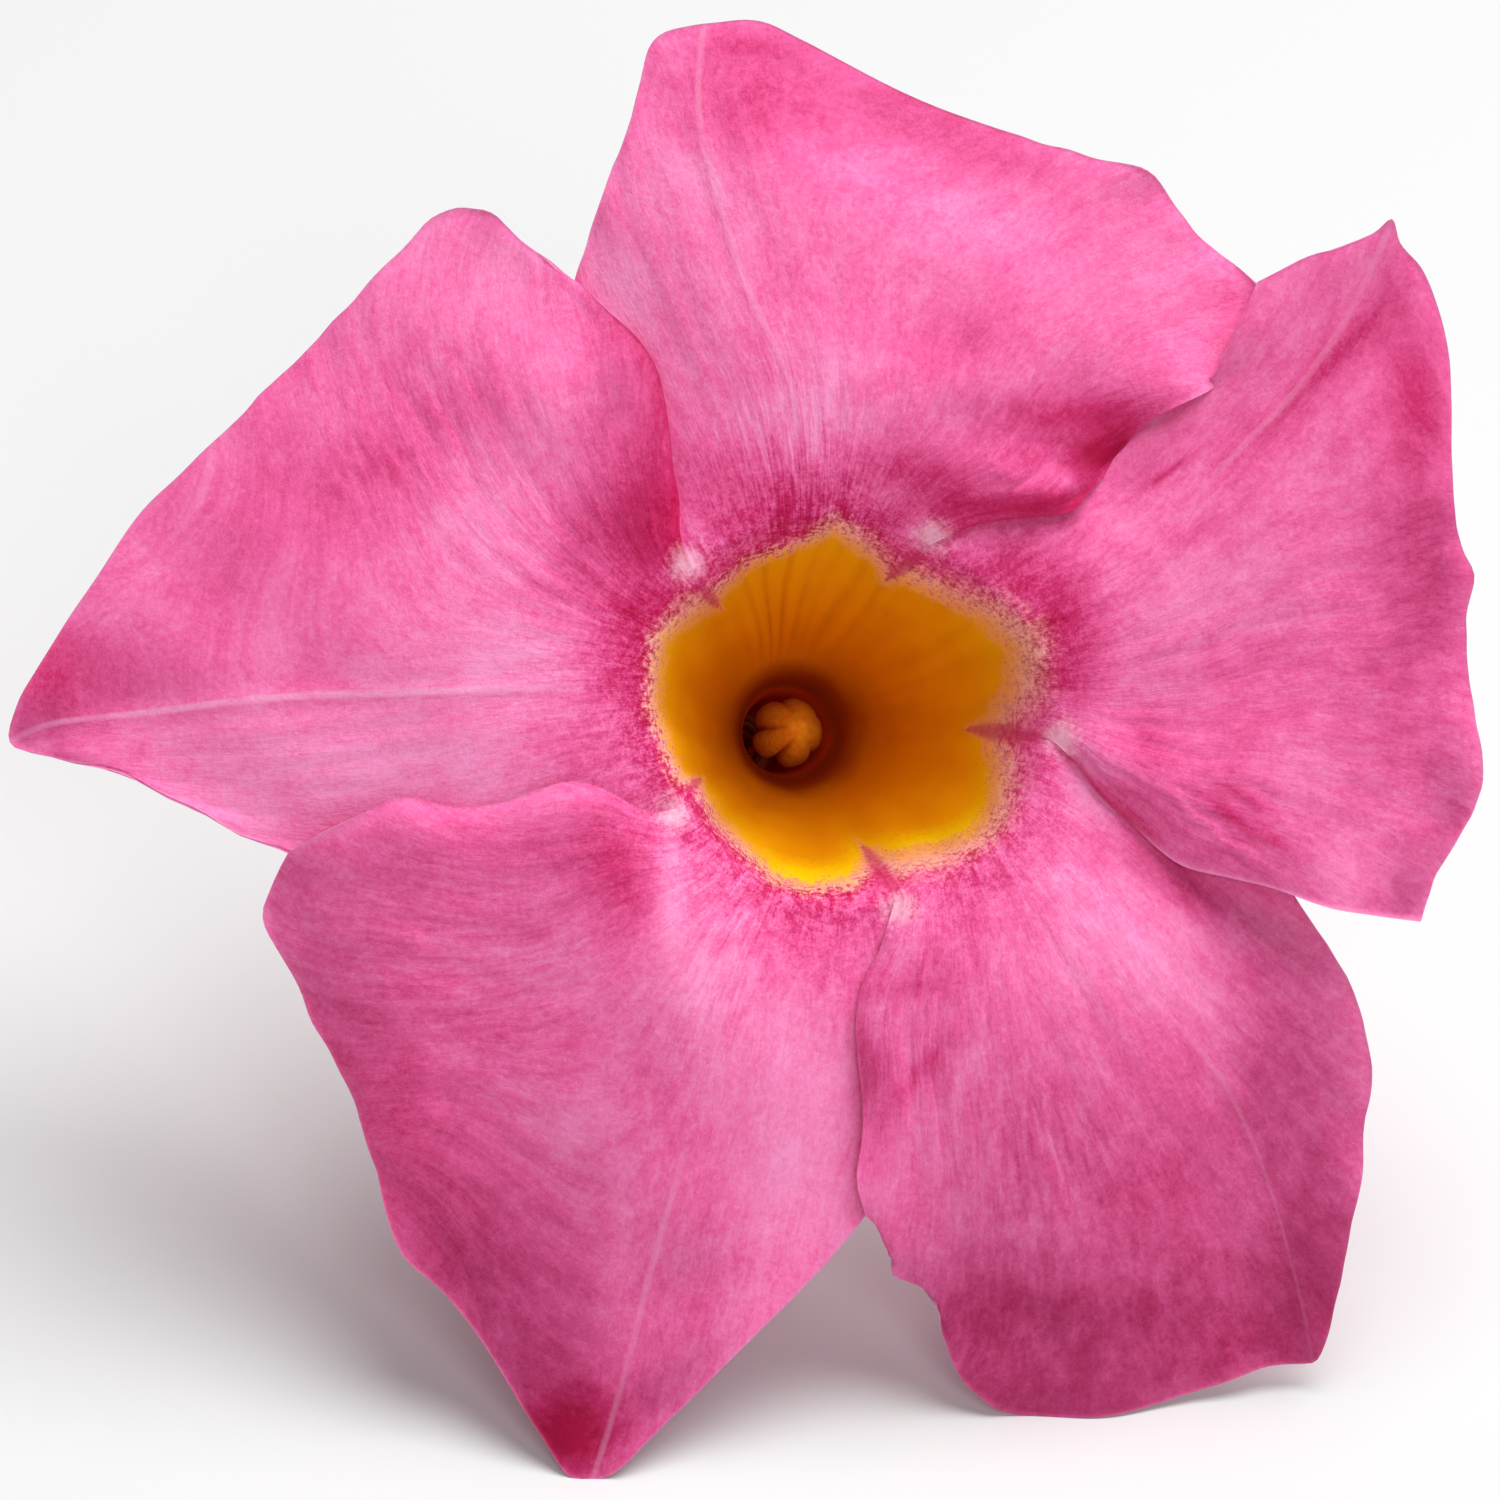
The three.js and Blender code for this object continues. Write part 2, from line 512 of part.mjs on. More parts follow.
function pedicel() {
  const { radius, height } = RECEPTACLE;
  const top = FOOT + NODE_GAP;
  const cup = [[radius - 0.2, top], [radius, top + 0.3], [radius * 0.8, top + 0.6 * height]];
  const head = skin(turned([...cup, [STALK_RADIUS * 1.15, top + height]], 20));
  const bend = curveOf(STALK);
  const stalk = rod(bend, (t) => STALK_RADIUS * (1 + STALK_SWELL * Math.max(0, 1 - 4 * t)), 12, 14);
  return geometryOf(outerBody(solid(head).add(solid(stalk)).subtract(surfaceSlab())));
}

// ---------------------------------------------------------------- assembly
function add(name, geometry, colour, roughness) {
  const material = new THREE.MeshStandardMaterial({ color: colour, roughness, metalness: 0 });
  const mesh = new THREE.Mesh(geometry, material);
  mesh.name = name;
  bloom.add(mesh);
}

add('corolla_limb', corollaLimb(), '#e0569b', 0.6);
add('corolla_throat', corollaThroat(), '#e09a12', 0.55);
add('stamens', stamens(), '#c9741c', 0.65);
add('pistil', geometryOf(pistilSolid(0)), '#b9c27a', 0.5);
add('nectary', nectary(), '#c8b84a', 0.5);
add('calyx', calyx(), '#7a8f45', 0.55);
add('pedicel', pedicel(), '#6f8f3f', 0.55);

export default bloom;
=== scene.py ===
"""A picked mandevilla bloom lying on a pale surface, its face turned up and forward.

The sizes below are in millimetres in the bloom's own frame, as in the part's source: x to the right
and y up across its face, z out of its mouth, with the origin at the middle of the mouth.
"""

import math

import bpy
import numpy as np
from mathutils import Matrix, Vector
from mathutils.bvhtree import BVHTree


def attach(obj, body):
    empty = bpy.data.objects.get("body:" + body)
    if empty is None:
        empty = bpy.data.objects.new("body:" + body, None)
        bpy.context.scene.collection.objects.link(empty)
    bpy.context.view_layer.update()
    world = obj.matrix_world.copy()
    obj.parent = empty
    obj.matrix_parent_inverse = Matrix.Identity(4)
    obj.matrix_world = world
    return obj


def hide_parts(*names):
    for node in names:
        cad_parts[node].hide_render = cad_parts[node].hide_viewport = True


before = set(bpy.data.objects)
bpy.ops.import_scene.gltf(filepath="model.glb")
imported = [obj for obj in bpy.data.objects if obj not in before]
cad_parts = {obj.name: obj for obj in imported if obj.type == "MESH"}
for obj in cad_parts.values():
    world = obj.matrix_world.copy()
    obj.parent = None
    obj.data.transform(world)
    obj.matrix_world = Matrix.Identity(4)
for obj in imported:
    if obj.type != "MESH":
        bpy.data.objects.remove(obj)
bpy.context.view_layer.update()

MM = 0.001

# ------------------------------------------------------------------ driving sizes, as in the part
# The margins that meet between the top and the right lobe have more points here than in the part.
FACE_ELEVATION = 34  # degrees that the bloom's face looks up
PLACE = (6.5, -10.75, 40.55)  # where the middle of its mouth stands over the surface
MOUTH_RADIUS = 12.9
CLEFTS = [(5.1, 11.0), (-10.2, 9.4), (-11.1, -6.2), (3.0, -12.3), (13.2, -1.6)]
SECTION = [  # half section of the corolla: radius and depth of the middle of its wall
    (12.75, 0.22), (12.2, 0.58), (11.6, 1.25), (11.1, 2.2), (10.5, 4), (9.2, 8), (7.7, 12),
    (6.0, 16), (4.5, 19.5), (3.55, 22), (3.0, 24), (2.7, 26.5), (2.55, 31), (2.45, 37), (2.45, 44),
]
LEAN = (-0.16, -0.047)
FOOT = 44
FLUTE, FLUTE_END = 0.035, 20
ROOT_RADIUS, ROOT_DEPTH, ROOT_RISE, ROOT_PULL, RIM_PULL = 0.93, 0.72, 0.72, 0.62, 0.75

# The lobes from the top one round against the clock: margins, rims, swellings and hollows.
LOBES = [
    dict(
        under=[(-12.1, 14.2, -0.9), (-14.7, 19.1, -1.6), (-16.8, 22.1, -1.8)],
        rim=[
            (-17.5, 24.4, -1.6), (-16.6, 27.0, -1.3), (-15.3, 31.2, -0.6), (-14.1, 34.3, -0.2),
            (-12.9, 37.9, 0), (-12.1, 40.9, 0), (-8.9, 42.0, -0.3), (-5.5, 42.1, -0.5),
            (-3.1, 41.1, -0.5), (3.0, 37.9, -0.8), (9.1, 35.6, -1.0), (15.2, 33.8, -1.0),
            (18.1, 33.1, -0.6), (19.5, 31.4, -1.0), (20.5, 29.9, -1.4), (22.6, 28.1, -1.6),
            (24.7, 26.2, -1.0), (26.7, 23.9, -1.3),
        ],
        apex=6,
        over=[
            (7.9, 11.6, 0.6), (10.3, 12.0, 1.1), (13.3, 12.3, 1.2), (14.7, 13.6, 0.7),
            (16.1, 15.5, -0.6), (17.9, 17.6, -0.1), (19.7, 18.6, 0.5), (21.6, 19.5, 0.1),
            (22.9, 20.3, -1.2), (24.3, 21.2, -1.6),
        ],
        recurve=-1.5,
        relief=[(0.72, 0.28, 0.7, 0.16, 0.2), (0.88, 0.5, -1.2, 0.11, 0.13), (0.4, 0.6, 0.8, 0.3, 0.3)],
    ),
    dict(
        under=[(-15.3, -8.3, -1.0), (-21.4, -10.2, -1.6), (-27.5, -10.5, -1.8)],
        rim=[
            (-32.6, -9.4, -1.8), (-34.2, -8.5, -1.7), (-37.2, -7.4, -1.6), (-40.6, -5.6, -1.8),
            (-45.7, -3.3, -2.4), (-49.4, -2.6, -3.0), (-51.5, -1.8, -3.6), (-51.1, 0.5, -3.4),
            (-50.0, 2.5, -3.2), (-48.1, 5.5, -3.0), (-45.7, 8.8, -2.8), (-43.3, 12.4, -2.6),
            (-40.6, 14.9, -2.4), (-36.6, 18.9, -2.2), (-31.7, 23.8, -2.0), (-27.8, 27.9, -1.8),
            (-25.6, 30.2, -1.6), (-23.5, 30.9, -1.4), (-21.9, 30.5, -1.0), (-20.2, 28.9, -0.6),
            (-18.0, 27.1, 0), (-16.6, 26.2, 0.1),
        ],
        apex=6,
        over=[
            (-10.4, 10.8, 0.2), (-10.5, 13.0, 0.3), (-10.9, 15.1, 0.4), (-11.1, 17.2, 0.5),
            (-11.4, 19.4, 0.5), (-11.9, 21.2, 0.5), (-12.9, 22.7, 0.5), (-15.3, 25.0, 0.4),
        ],
        recurve=-2.5,
        relief=[(0.84, 0.55, 1.3, 0.12, 0.3), (0.45, 0.55, 0.8, 0.3, 0.3)],
    ),
    dict(
        under=[(3.3, -16.3, -1.6), (3.3, -21.1, -2.6), (2.7, -26.0, -2.9)],
        rim=[
            (1.8, -29.4, -2.5), (0.7, -31.0, -2.6), (-1.3, -33.4, -2.6), (-4.3, -36.5, -2.7),
            (-9.2, -41.4, -2.8), (-12.2, -44.3, -2.9), (-14.6, -46.6, -3.0), (-15.8, -47.0, -3.0),
            (-17.1, -46.8, -3.0), (-18.9, -44.3, -3.2), (-22.0, -39.4, -3.5), (-25.0, -35.4, -3.8),
            (-27.3, -33.2, -4.0), (-28.4, -30.6, -4.0), (-29.6, -26.6, -4.2), (-30.6, -23.0, -4.2),
            (-32.9, -19.0, -4.0), (-34.5, -15.3, -3.6), (-35.9, -12.5, -3.0), (-35.5, -10.7, -2.4),
            (-34.3, -8.5, -1.2),
        ],
        apex=7,
        over=[
            (-12.2, -6.0, 0.3), (-13.9, -5.3, 0.8), (-15.3, -4.6, 1.2), (-17.1, -4.3, 1.6),
            (-19.2, -4.8, 1.5), (-21.4, -5.5, 1.2), (-24.4, -5.7, 1.0), (-27.2, -5.1, 1.1),
            (-29.3, -5.9, 0.8), (-32.0, -7.2, 0.2),
        ],
        recurve=-2.5,
        relief=[(0.35, 0.35, 1.0, 0.25, 0.3), (0.8, 0.35, 0.9, 0.14, 0.2)],
    ),
    dict(
        under=[(16.4, -3.5, -1.2), (20.6, -6.2, -2.2), (24.9, -8.6, -2.8)],
        rim=[
            (26.6, -10.2, -2.9), (27.3, -11.4, -3.0), (29.5, -14.6, -3.2), (31.1, -17.8, -3.6),
            (32.0, -22.2, -4.4), (31.6, -25.4, -5.0), (31.4, -28.7, -5.6), (30.7, -32.4, -6.5),
            (30.1, -35.7, -7.5), (29.4, -38.9, -8.6), (28.6, -40.0, -9.4), (26.1, -40.4, -9.2),
            (23.7, -41.1, -9.0), (20.0, -42.3, -8.7), (16.1, -43.3, -8.3), (12.7, -43.5, -8.1),
            (9.1, -42.9, -8.0), (6.9, -40.9, -7.2), (5.7, -38.2, -6.0), (5.1, -35.7, -5.0),
            (3.7, -35.0, -4.6), (2.6, -34.4, -4.4), (2.9, -33.2, -3.8), (2.3, -32.0, -3.0),
            (0.9, -30.7, -2.0),
        ],
        apex=10,
        over=[
            (1.8, -14.3, 0.4), (0.7, -16.6, 0.8), (0.4, -18.7, 0.9), (0.5, -21.1, 0.8),
            (0.7, -23.6, 0.4), (0.7, -26.0, 0), (0.4, -28.7, -0.9),
        ],
        recurve=-7,
        relief=[(0.55, 0.4, 1.2, 0.3, 0.3), (0.88, 0.35, -0.4, 0.08, 0.15)],
    ),
    dict(
        under=[
            (8.2, 13.0, -1.2), (12.1, 15.4, -2.2), (15.8, 18.0, -2.4), (19.4, 19.6, -1.4),
            (21.8, 20.4, -0.1), (22.7, 21.9, 0.5), (23.5, 23.4, 0.8),
        ],
        rim=[
            (24.7, 26.2, 1.0), (27.3, 27.5, 1.4), (30.4, 28.6, 1.4), (32.1, 29.3, 1.6), (32.8, 30.0, 2.2),
            (33.3, 28.6, 1.4), (34.7, 27.1, 0.4), (35.7, 24.8, -0.4), (36.4, 22.1, -0.8),
            (36.6, 19.1, -1.2), (36.7, 14.2, -1.6), (37.3, 10.2, -1.8), (38.0, 8.4, -1.6),
            (37.6, 6.0, -1.8), (37.7, 3.2, -1.8), (38.1, -0.1, -1.8), (38.5, -4.6, -1.6),
            (36.9, -7.9, -1.2), (35.4, -10.5, -0.8), (34.7, -12.7, -0.2),
        ],
        apex=4,
        over=[
            (13.9, -3.2, 0.2), (15.0, -4.7, 0.4), (17.0, -6.6, 0.7), (18.8, -8.3, 1.0),
            (20.3, -9.3, 1.2), (23.1, -10.0, 1.3), (25.8, -10.7, 1.2), (28.9, -11.8, 0.9),
            (31.6, -12.3, 0.4),
        ],
        recurve=-1.5,
        relief=[(0.8, 0.3, 1.2, 0.14, 0.25), (0.3, 0.5, 0.6, 0.2, 0.3)],
    ),
]

# ------------------------------------------------------------------ sizes of this finer model
# Cells across a lobe, from the foot of the tube to the lobes' roots, and from there to the rim: all even.
COLUMNS, WALL_ROWS, LOBE_ROWS = 120, 26, 100
ROW_EASE, WALL_EASE = 0.3, 1.6  # how the rows draw together at a lobe's ends and at its root
RIM_SPREAD = 6  # columns over which the line is evened out that the columns aim at inside a lobe
CORNER_PASSES = 400  # how often the cells near a corner of a lobe are evened out
HALF, THINNER, THIN_WIDTH = 0.2, 0.11, 0.7  # half thickness, what its edges lack of it, how wide they are
BULGE = 0.7  # how far the edge bulges outwards, in half thicknesses
ROLL_WIDTH, ROLL_REST, ROLL_MOST = 3.2, 0.6, 1.3  # how wide a margin rolls down, how near, how far
ROLL_SPREAD = 10  # rows to either side over which the roll is evened out
TUCK_WIDTH, TUCK = 2.0, 0.6  # how wide a margin below another lobe bends away, and how far
RIPPLE, SWELL, FRILL = 0.036, 0.11, 0.15  # heights of ripples along the veins, of swellings, of the edge
DENT = 0.14  # height of the dents in the throat's wall
RAGGED = 0.05  # how far the rim wavers outwards and inwards
LEAST_HEIGHT = 0.00002  # how far over the floor every point stays, in metres

# ------------------------------------------------------------------ small tools
turn = 2 * math.pi
tilt = math.radians(90 - FACE_ELEVATION)
TO_WORLD = Matrix.Translation(Vector(PLACE) * MM) @ Matrix.Rotation(tilt, 4, "X") @ Matrix.Scale(MM, 4)


def to_world(points):
    m = np.array(TO_WORLD)
    return points @ m[:3, :3].T + m[:3, 3]


def smooth(x, low, high):
    """A smooth step from 0 at low to 1 at high."""
    t = np.clip((x - low) / (high - low), 0, 1)
    return t * t * (3 - 2 * t)


def bell(x, width):
    return np.exp(-((x / width) ** 2))


def catmull(points):
    """A centripetal Catmull-Rom curve as a function of the number of the knot."""
    p = np.array(points, float)
    ext = np.vstack([2 * p[0] - p[1], p, 2 * p[-1] - p[-2]])
    gap = np.maximum(np.linalg.norm(np.diff(ext, axis=0), axis=1) ** 0.5, 1e-4)[:, None]

    def at(u):
        u = np.clip(np.asarray(u, float), 0, len(p) - 1)
        k = np.minimum(u.astype(int), len(p) - 2)
        w = (u - k)[..., None]
        p0, p1, p2, p3 = ext[k], ext[k + 1], ext[k + 2], ext[k + 3]
        d0, d1, d2 = gap[k], gap[k + 1], gap[k + 2]
        m1 = ((p1 - p0) / d0 - (p2 - p0) / (d0 + d1) + (p2 - p1) / d1) * d1
        m2 = ((p2 - p1) / d1 - (p3 - p1) / (d1 + d2) + (p3 - p2) / d2) * d1
        return (
            p1 * (1 + 2 * w) * (1 - w) ** 2
            + m1 * w * (1 - w) ** 2
            - m2 * w * w * (1 - w)
            + p2 * w * w * (3 - 2 * w)
        )

    return at


def run(points, axis=0):
    """Length along a line of points, or along each line of a grid, from its first point."""
    step = np.linalg.norm(np.diff(points, axis=axis), axis=-1)
    zero = np.zeros_like(np.take(step, [0], axis))
    return np.concatenate([zero, np.cumsum(step, axis)], axis)


def evenly(points, shares):
    """Points at shares of the length of the curve through the given ones."""
    curve = catmull(points)
    u = np.linspace(0, len(points) - 1, 400)
    length = run(curve(u))
    return curve(np.interp(shares * length[-1], length, u))


def waves(x, y, seed, count, x_length, y_length=(1, 2)):
    """Smooth noise of about -1 to 1: waves whose lengths along x and y lie in two ranges.

    With 0 as y they run along x alone.
    """
    rng = np.random.default_rng(seed)
    total = np.zeros(np.broadcast(x, y).shape)
    for _ in range(count):
        kx = turn / rng.uniform(*x_length) * rng.choice([-1, 1])
        ky = turn / rng.uniform(*y_length)
        total += np.cos(kx * x + ky * y + rng.uniform(0, turn))
    return total / math.sqrt(count)


# ------------------------------------------------------------------ corolla: mouth, throat and tube
angles = np.unwrap([math.atan2(y, x) for x, y in CLEFTS + CLEFTS[:1]])
radii = np.array([math.hypot(*c) for c in CLEFTS + CLEFTS[:1]])


def mouth(q):
    """Angle, scale and fold (1 in it) at q, which counts the clefts against the clock."""
    q = np.mod(q, 5)
    k = np.minimum(q.astype(int), 4)
    share = q - k
    angle = np.interp(q, np.arange(6), angles)
    ease = share * share * (3 - 2 * share)
    scale = (radii[k] + (radii[k + 1] - radii[k]) * ease) / MOUTH_RADIUS
    return angle, scale, np.cos(turn * share)


section = catmull(SECTION)
section_u = np.linspace(0, len(SECTION) - 1, 3000)
section_depth = section(section_u)[:, 1]


def tube_point(radius, angle, depth):
    """Points at a radius and an angle about the leaning axis of the tube."""
    lean = np.maximum(depth, 0)
    x = radius * np.cos(angle) + LEAN[0] * lean
    y = radius * np.sin(angle) + LEAN[1] * lean
    return np.stack(np.broadcast_arrays(x, y, -np.asarray(depth, float)), -1)


def wall_point(depth, q):
    """The middle of the corolla's wall, with the folds that run down from the clefts."""
    radius = section(np.interp(depth, section_depth, section_u))[..., 0]
    angle, scale, fold = mouth(q)
    fade = np.clip(1 - depth / FLUTE_END, 0, 1)
    flute = 1 - FLUTE * fold * fade * np.clip(depth / 2.5, 0, 1)
    return tube_point(radius * (1 + (scale - 1) * fade) * flute, angle, depth)


# ------------------------------------------------------------------ corolla: the lobes
def columns_of(rim):
    """The knot numbers of a lobe's columns: as even as they can be with one at every knot."""
    length = run(np.array(rim, float))
    share = np.diff(length) / length[-1]
    cells = np.maximum(1, np.round(share * COLUMNS)).astype(int)
    while cells.sum() != COLUMNS:
        off = share * COLUMNS - cells
        k = np.argmax(off) if cells.sum() < COLUMNS else np.argmin(np.where(cells > 1, off, 9))
        cells[k] += np.sign(COLUMNS - cells.sum())
    knots = [k + np.arange(n) / n for k, n in enumerate(cells)]
    return np.append(np.concatenate(knots), len(rim) - 1), length / length[-1], cells


def smoother(points, width):
    """A line of points evened out over a number of its neighbours, with its ends kept."""
    reach = 3 * width
    weight = np.exp(-((np.arange(-reach, reach + 1) / width) ** 2) / 2)
    line = np.pad(points, ((reach, reach), (0, 0)), mode="reflect", reflect_type="odd")
    spread = [np.convolve(line[:, k], weight / weight.sum(), "valid") for k in range(3)]
    return np.stack(spread, -1)


def blade_of(lobe, knots, angle, scale, t):
    """A lobe from its root to its rim, each column one Hermite curve."""
    root = tube_point(MOUTH_RADIUS * scale * ROOT_RADIUS, angle, ROOT_DEPTH)
    out = np.stack([np.cos(angle), np.sin(angle), np.full_like(angle, ROOT_RISE)], -1)
    rim = catmull(lobe["rim"])(knots)
    # Inside, the columns aim at a smoother rim, so that its corners don't run down the lobe as creases.
    end = rim + (smoother(rim, RIM_SPREAD) - rim) * (1 - smooth(t, 0.5, 1))
    reach = np.linalg.norm((end - root)[..., :2], axis=-1)[..., None]
    finish = (end - root) * RIM_PULL
    finish[..., 2] = lobe["recurve"]
    return (
        root * (1 + 2 * t) * (1 - t) ** 2
        + out * ROOT_PULL * reach * t * (1 - t) ** 2
        - finish * t * t * (1 - t)
        + end * t * t * (3 - 2 * t)
    )


def fit_margins(grid, lobe, s, t):
    """Moves the columns so that the outermost two follow the lobe's margins."""
    low = evenly([grid[0, 0], *lobe["under"], grid[-1, 0]], t) - grid[:, 0]
    high = evenly([grid[0, -1], *lobe["over"], grid[-1, -1]], t) - grid[:, -1]
    low, high, w = low[:, None], high[:, None], s[None, :, None]
    grid[..., :2] += (low * (1 - w) + high * w)[..., :2]
    grid[..., 2] += (low * (1 - w) ** 2 + high * w**2)[..., 2]


def ease_corners(grid, share):
    """Evens out the cells where a margin runs into the rim almost straight."""
    share = share[1:-1, 1:-1, None]
    for _ in range(CORNER_PASSES):
        around = grid[:-2, 1:-1] + grid[2:, 1:-1] + grid[1:-1, :-2] + grid[1:-1, 2:]
        grid[1:-1, 1:-1] += share * (around / 4 - grid[1:-1, 1:-1])


def add_relief(grid, lobe, s, t):
    """Adds the lobe's swellings and hollows, which fade out at its root and its rim."""
    ends = np.clip(8 * t, 0, 1) * np.clip(8 * (1 - t), 0, 1)
    for across, along, height, width, length in lobe["relief"]:
        distance = ((s - across) / width) ** 2 + ((t - along) / length) ** 2
        grid[..., 2] += height * np.exp(-distance) * ends


def blend_root(grid):
    """Smooths the bend where the lobe leaves the wall."""
    first, last = WALL_ROWS - 3, WALL_ROWS + 4
    for _ in range(3):
        middle = (grid[first - 1 : last - 1] + grid[first + 1 : last + 1]) / 2
        grid[first:last] += 0.5 * (middle - grid[first:last])


def lobe_grid(lobe, index):
    """The middle surface of a lobe and of its part of the wall, with what its looks need."""
    knots, shares, cells = columns_of(lobe["rim"])
    s = np.interp(knots, np.arange(len(shares)), shares)
    rib = shares[lobe["apex"]]
    q = index + 1 - s / (s + rib / (1 - rib) * (1 - s))
    angle, scale, _ = mouth(q)
    # q is whole at both ends, where the next lobe's wall begins.
    angle[0], angle[-1] = angles[index + 1], angles[index]
    x = np.linspace(0, 1, LOBE_ROWS + 1)
    t = (x - ROW_EASE * np.sin(turn * x) / turn)[:, None]
    blade = blade_of(lobe, knots, angle, scale, t[..., None])
    fit_margins(blade, lobe, s, t[:, 0])
    ease_corners(blade, smooth(t, 0.35, 0.65) * smooth(np.abs(2 * s - 1), 0.3, 0.7))
    add_relief(blade, lobe, s, t)

    # The wall below, row by row from the foot of the tube up to the roots.
    down = np.linspace(1, 0, WALL_ROWS + 1)[:-1, None] ** WALL_EASE
    wall_depth = np.broadcast_to(ROOT_DEPTH + (FOOT - ROOT_DEPTH) * down, (WALL_ROWS, len(q)))
    wall = wall_point(wall_depth, np.broadcast_to(q, wall_depth.shape))
    grid = np.concatenate([wall, blade])
    blend_root(grid)
    depth = np.concatenate([wall_depth, np.maximum(-grid[WALL_ROWS:, :, 2], 0)])
    rib_column = int(cells[: lobe["apex"]].sum())
    return dict(grid=grid, s=s, q=q, rib=rib_column, depth=depth, index=index)


def normals_of(grid):
    along = np.gradient(grid, axis=0)
    across = np.gradient(grid, axis=1)
    n = np.cross(across, along)
    return n / np.maximum(np.linalg.norm(n, axis=-1, keepdims=True), 1e-9)


# The midrib of each lobe: how strong it is, how far from the root it starts, how far it bows aside.
RIBS = [(0.8, 3, -1.9), (1.5, 3, 1.7), (0.8, 14, 0), (0.6, 12, -5.2), (0.6, 10, 0)]
VEIN_COUNT = 40  # the fan of veins counts from 0 to this across a lobe
# How the veins beyond the midrib veer with the clock, in counts of the fan for each millimetre.
VEER = [0.4, 0.6, 0.6, 0.15, 0.4]


def measure(lobe):
    """Lengths over a lobe's surface, in millimetres, from its margins, midrib and root, and its veins."""
    grid, index = lobe["grid"], lobe["index"]
    across = run(grid, 1)
    along = run(grid, 0)
    lobe["along"] = along - along[WALL_ROWS]
    lobe["under"] = across
    lobe["over"] = across[:, -1:] - across
    lobe["rim"] = along[-1] - along
    lobe["up"] = np.clip(lobe["along"], 0, None)
    share = lobe["up"] / (lobe["up"] + lobe["rim"])
    middle = across[:, lobe["rib"]][:, None]
    lobe["side"] = across - middle - RIBS[index][2] * np.sin(math.pi * share**1.5)
    rib = lobe["s"][lobe["rib"]]
    beyond = smooth(lobe["s"][None, :], rib, rib + 0.35)
    veer = VEER[index] * lobe["up"] ** 2 / (lobe["up"] + 10)
    lobe["veins"] = VEIN_COUNT * lobe["s"][None, :] - veer * beyond


def settle(lobe, below):
    """Rolls a lobe's lying margin down until it nearly rests on the next lobe."""
    grid = lobe["grid"]
    cells = below["grid"][WALL_ROWS:]
    ids = np.arange(cells[..., 0].size).reshape(1, *cells.shape[:2])
    tree = BVHTree.FromPolygons(cells.reshape(-1, 3).tolist(), quads_of(ids).tolist())
    start, down, reach = Vector((0, 0, 0.01)), Vector((0, 0, -1)), 8
    gaps = []
    for point in grid[WALL_ROWS:, -1]:
        hit, _, _, distance = tree.ray_cast(Vector(point) + start, down, reach)
        gaps.append(distance if hit is not None else 0)
    drop = np.clip(np.array(gaps) - ROLL_REST, 0, ROLL_MOST)
    spread = 2 * ROLL_SPREAD + 1
    drop = np.convolve(np.pad(drop, ROLL_SPREAD, mode="edge"), np.ones(spread) / spread, "valid")
    drop = drop * smooth(lobe["up"][WALL_ROWS:, -1], 0.5, 4) * smooth(lobe["rim"][WALL_ROWS:, -1], 1, 9)
    share = np.clip(1 - lobe["over"][WALL_ROWS:] / ROLL_WIDTH, 0, 1)
    grid[WALL_ROWS:, :, 2] -= drop[:, None] * share**2


# Wrinkles of each lobe: x, y, direction of the ridges, spacing, height, half length, half width.
FOLDS = [
    [(12, 13.8, -165, 2.0, 0.16, 4, 3), (14, 16.5, 62, 1.3, 0.08, 3, 4), (3, 24, 60, 3.0, 0.05, 7, 6)],
    [(-26, 19.1, -56, 2.0, 0.12, 5, 4), (-31, 14, -52, 1.5, 0.07, 4, 5)],
    [(-26, -14.5, -8, 2.5, 0.08, 8, 6), (-24, -25, -15, 3.2, 0.07, 8, 6)],
    [
        (5.5, -17.5, 60, 1.8, 0.12, 5, 4), (11.5, -26.6, 85, 1.5, 0.1, 7, 6),
        (22, -33, 65, 2.6, 0.07, 6, 6),
    ],
    [
        (23.4, -6.5, -35, 1.4, 0.16, 3.5, 2.5), (19.1, 14.5, 42, 2.4, 0.2, 2.2, 1),
        (33, 4, 20, 2.4, 0.06, 4, 8),
    ],
]
# Ridges down the throat: where round it (in lobes), how wide a band, how many to a lobe, how high.
RIDGES = [(0.62, 0.2, 9, 0.09), (0.15, 0.25, 6, 0.05), (4.5, 0.5, 5, 0.025)]


def patch(points, x, y, long, short, angle):
    """A soft oval of 1 at its middle, as seen from the front."""
    c, s = math.cos(math.radians(angle)), math.sin(math.radians(angle))
    dx, dy = points[..., 0] - x, points[..., 1] - y
    return np.exp(-(((c * dx + s * dy) / long) ** 2) - ((c * dy - s * dx) / short) ** 2)


def midrib(lobe):
    """Height of the midrib, a fine ridge in a shallow valley."""
    strong, start, _ = RIBS[lobe["index"]]
    profile = 0.1 * bell(lobe["side"], 0.45) - 0.16 * bell(lobe["side"], 2.0)
    return strong * profile * smooth(lobe["up"], start, start + 8) * smooth(lobe["rim"], 0.5, 5)


def wrinkles(lobe, seed):
    """Height of the lobe's wrinkles."""
    grid = lobe["grid"]
    x, y = grid[..., 0], grid[..., 1]
    bend = 0.4 * waves(x, y, seed + 5, 8, (3, 8), (3, 8))
    strength = np.clip(0.5 + 0.8 * waves(x, y, seed + 6, 8, (3, 8), (3, 8)), 0, 2)
    total = np.zeros(x.shape)
    for fold_x, fold_y, angle, spacing, tall, long, wide in FOLDS[lobe["index"]]:
        c, s = math.cos(math.radians(angle)), math.sin(math.radians(angle))
        across = c * (y - fold_y) - s * (x - fold_x) + bend
        area = patch(grid, fold_x, fold_y, long, wide, angle)
        total += tall * strength * np.cos(turn * across / spacing) * area
    return total


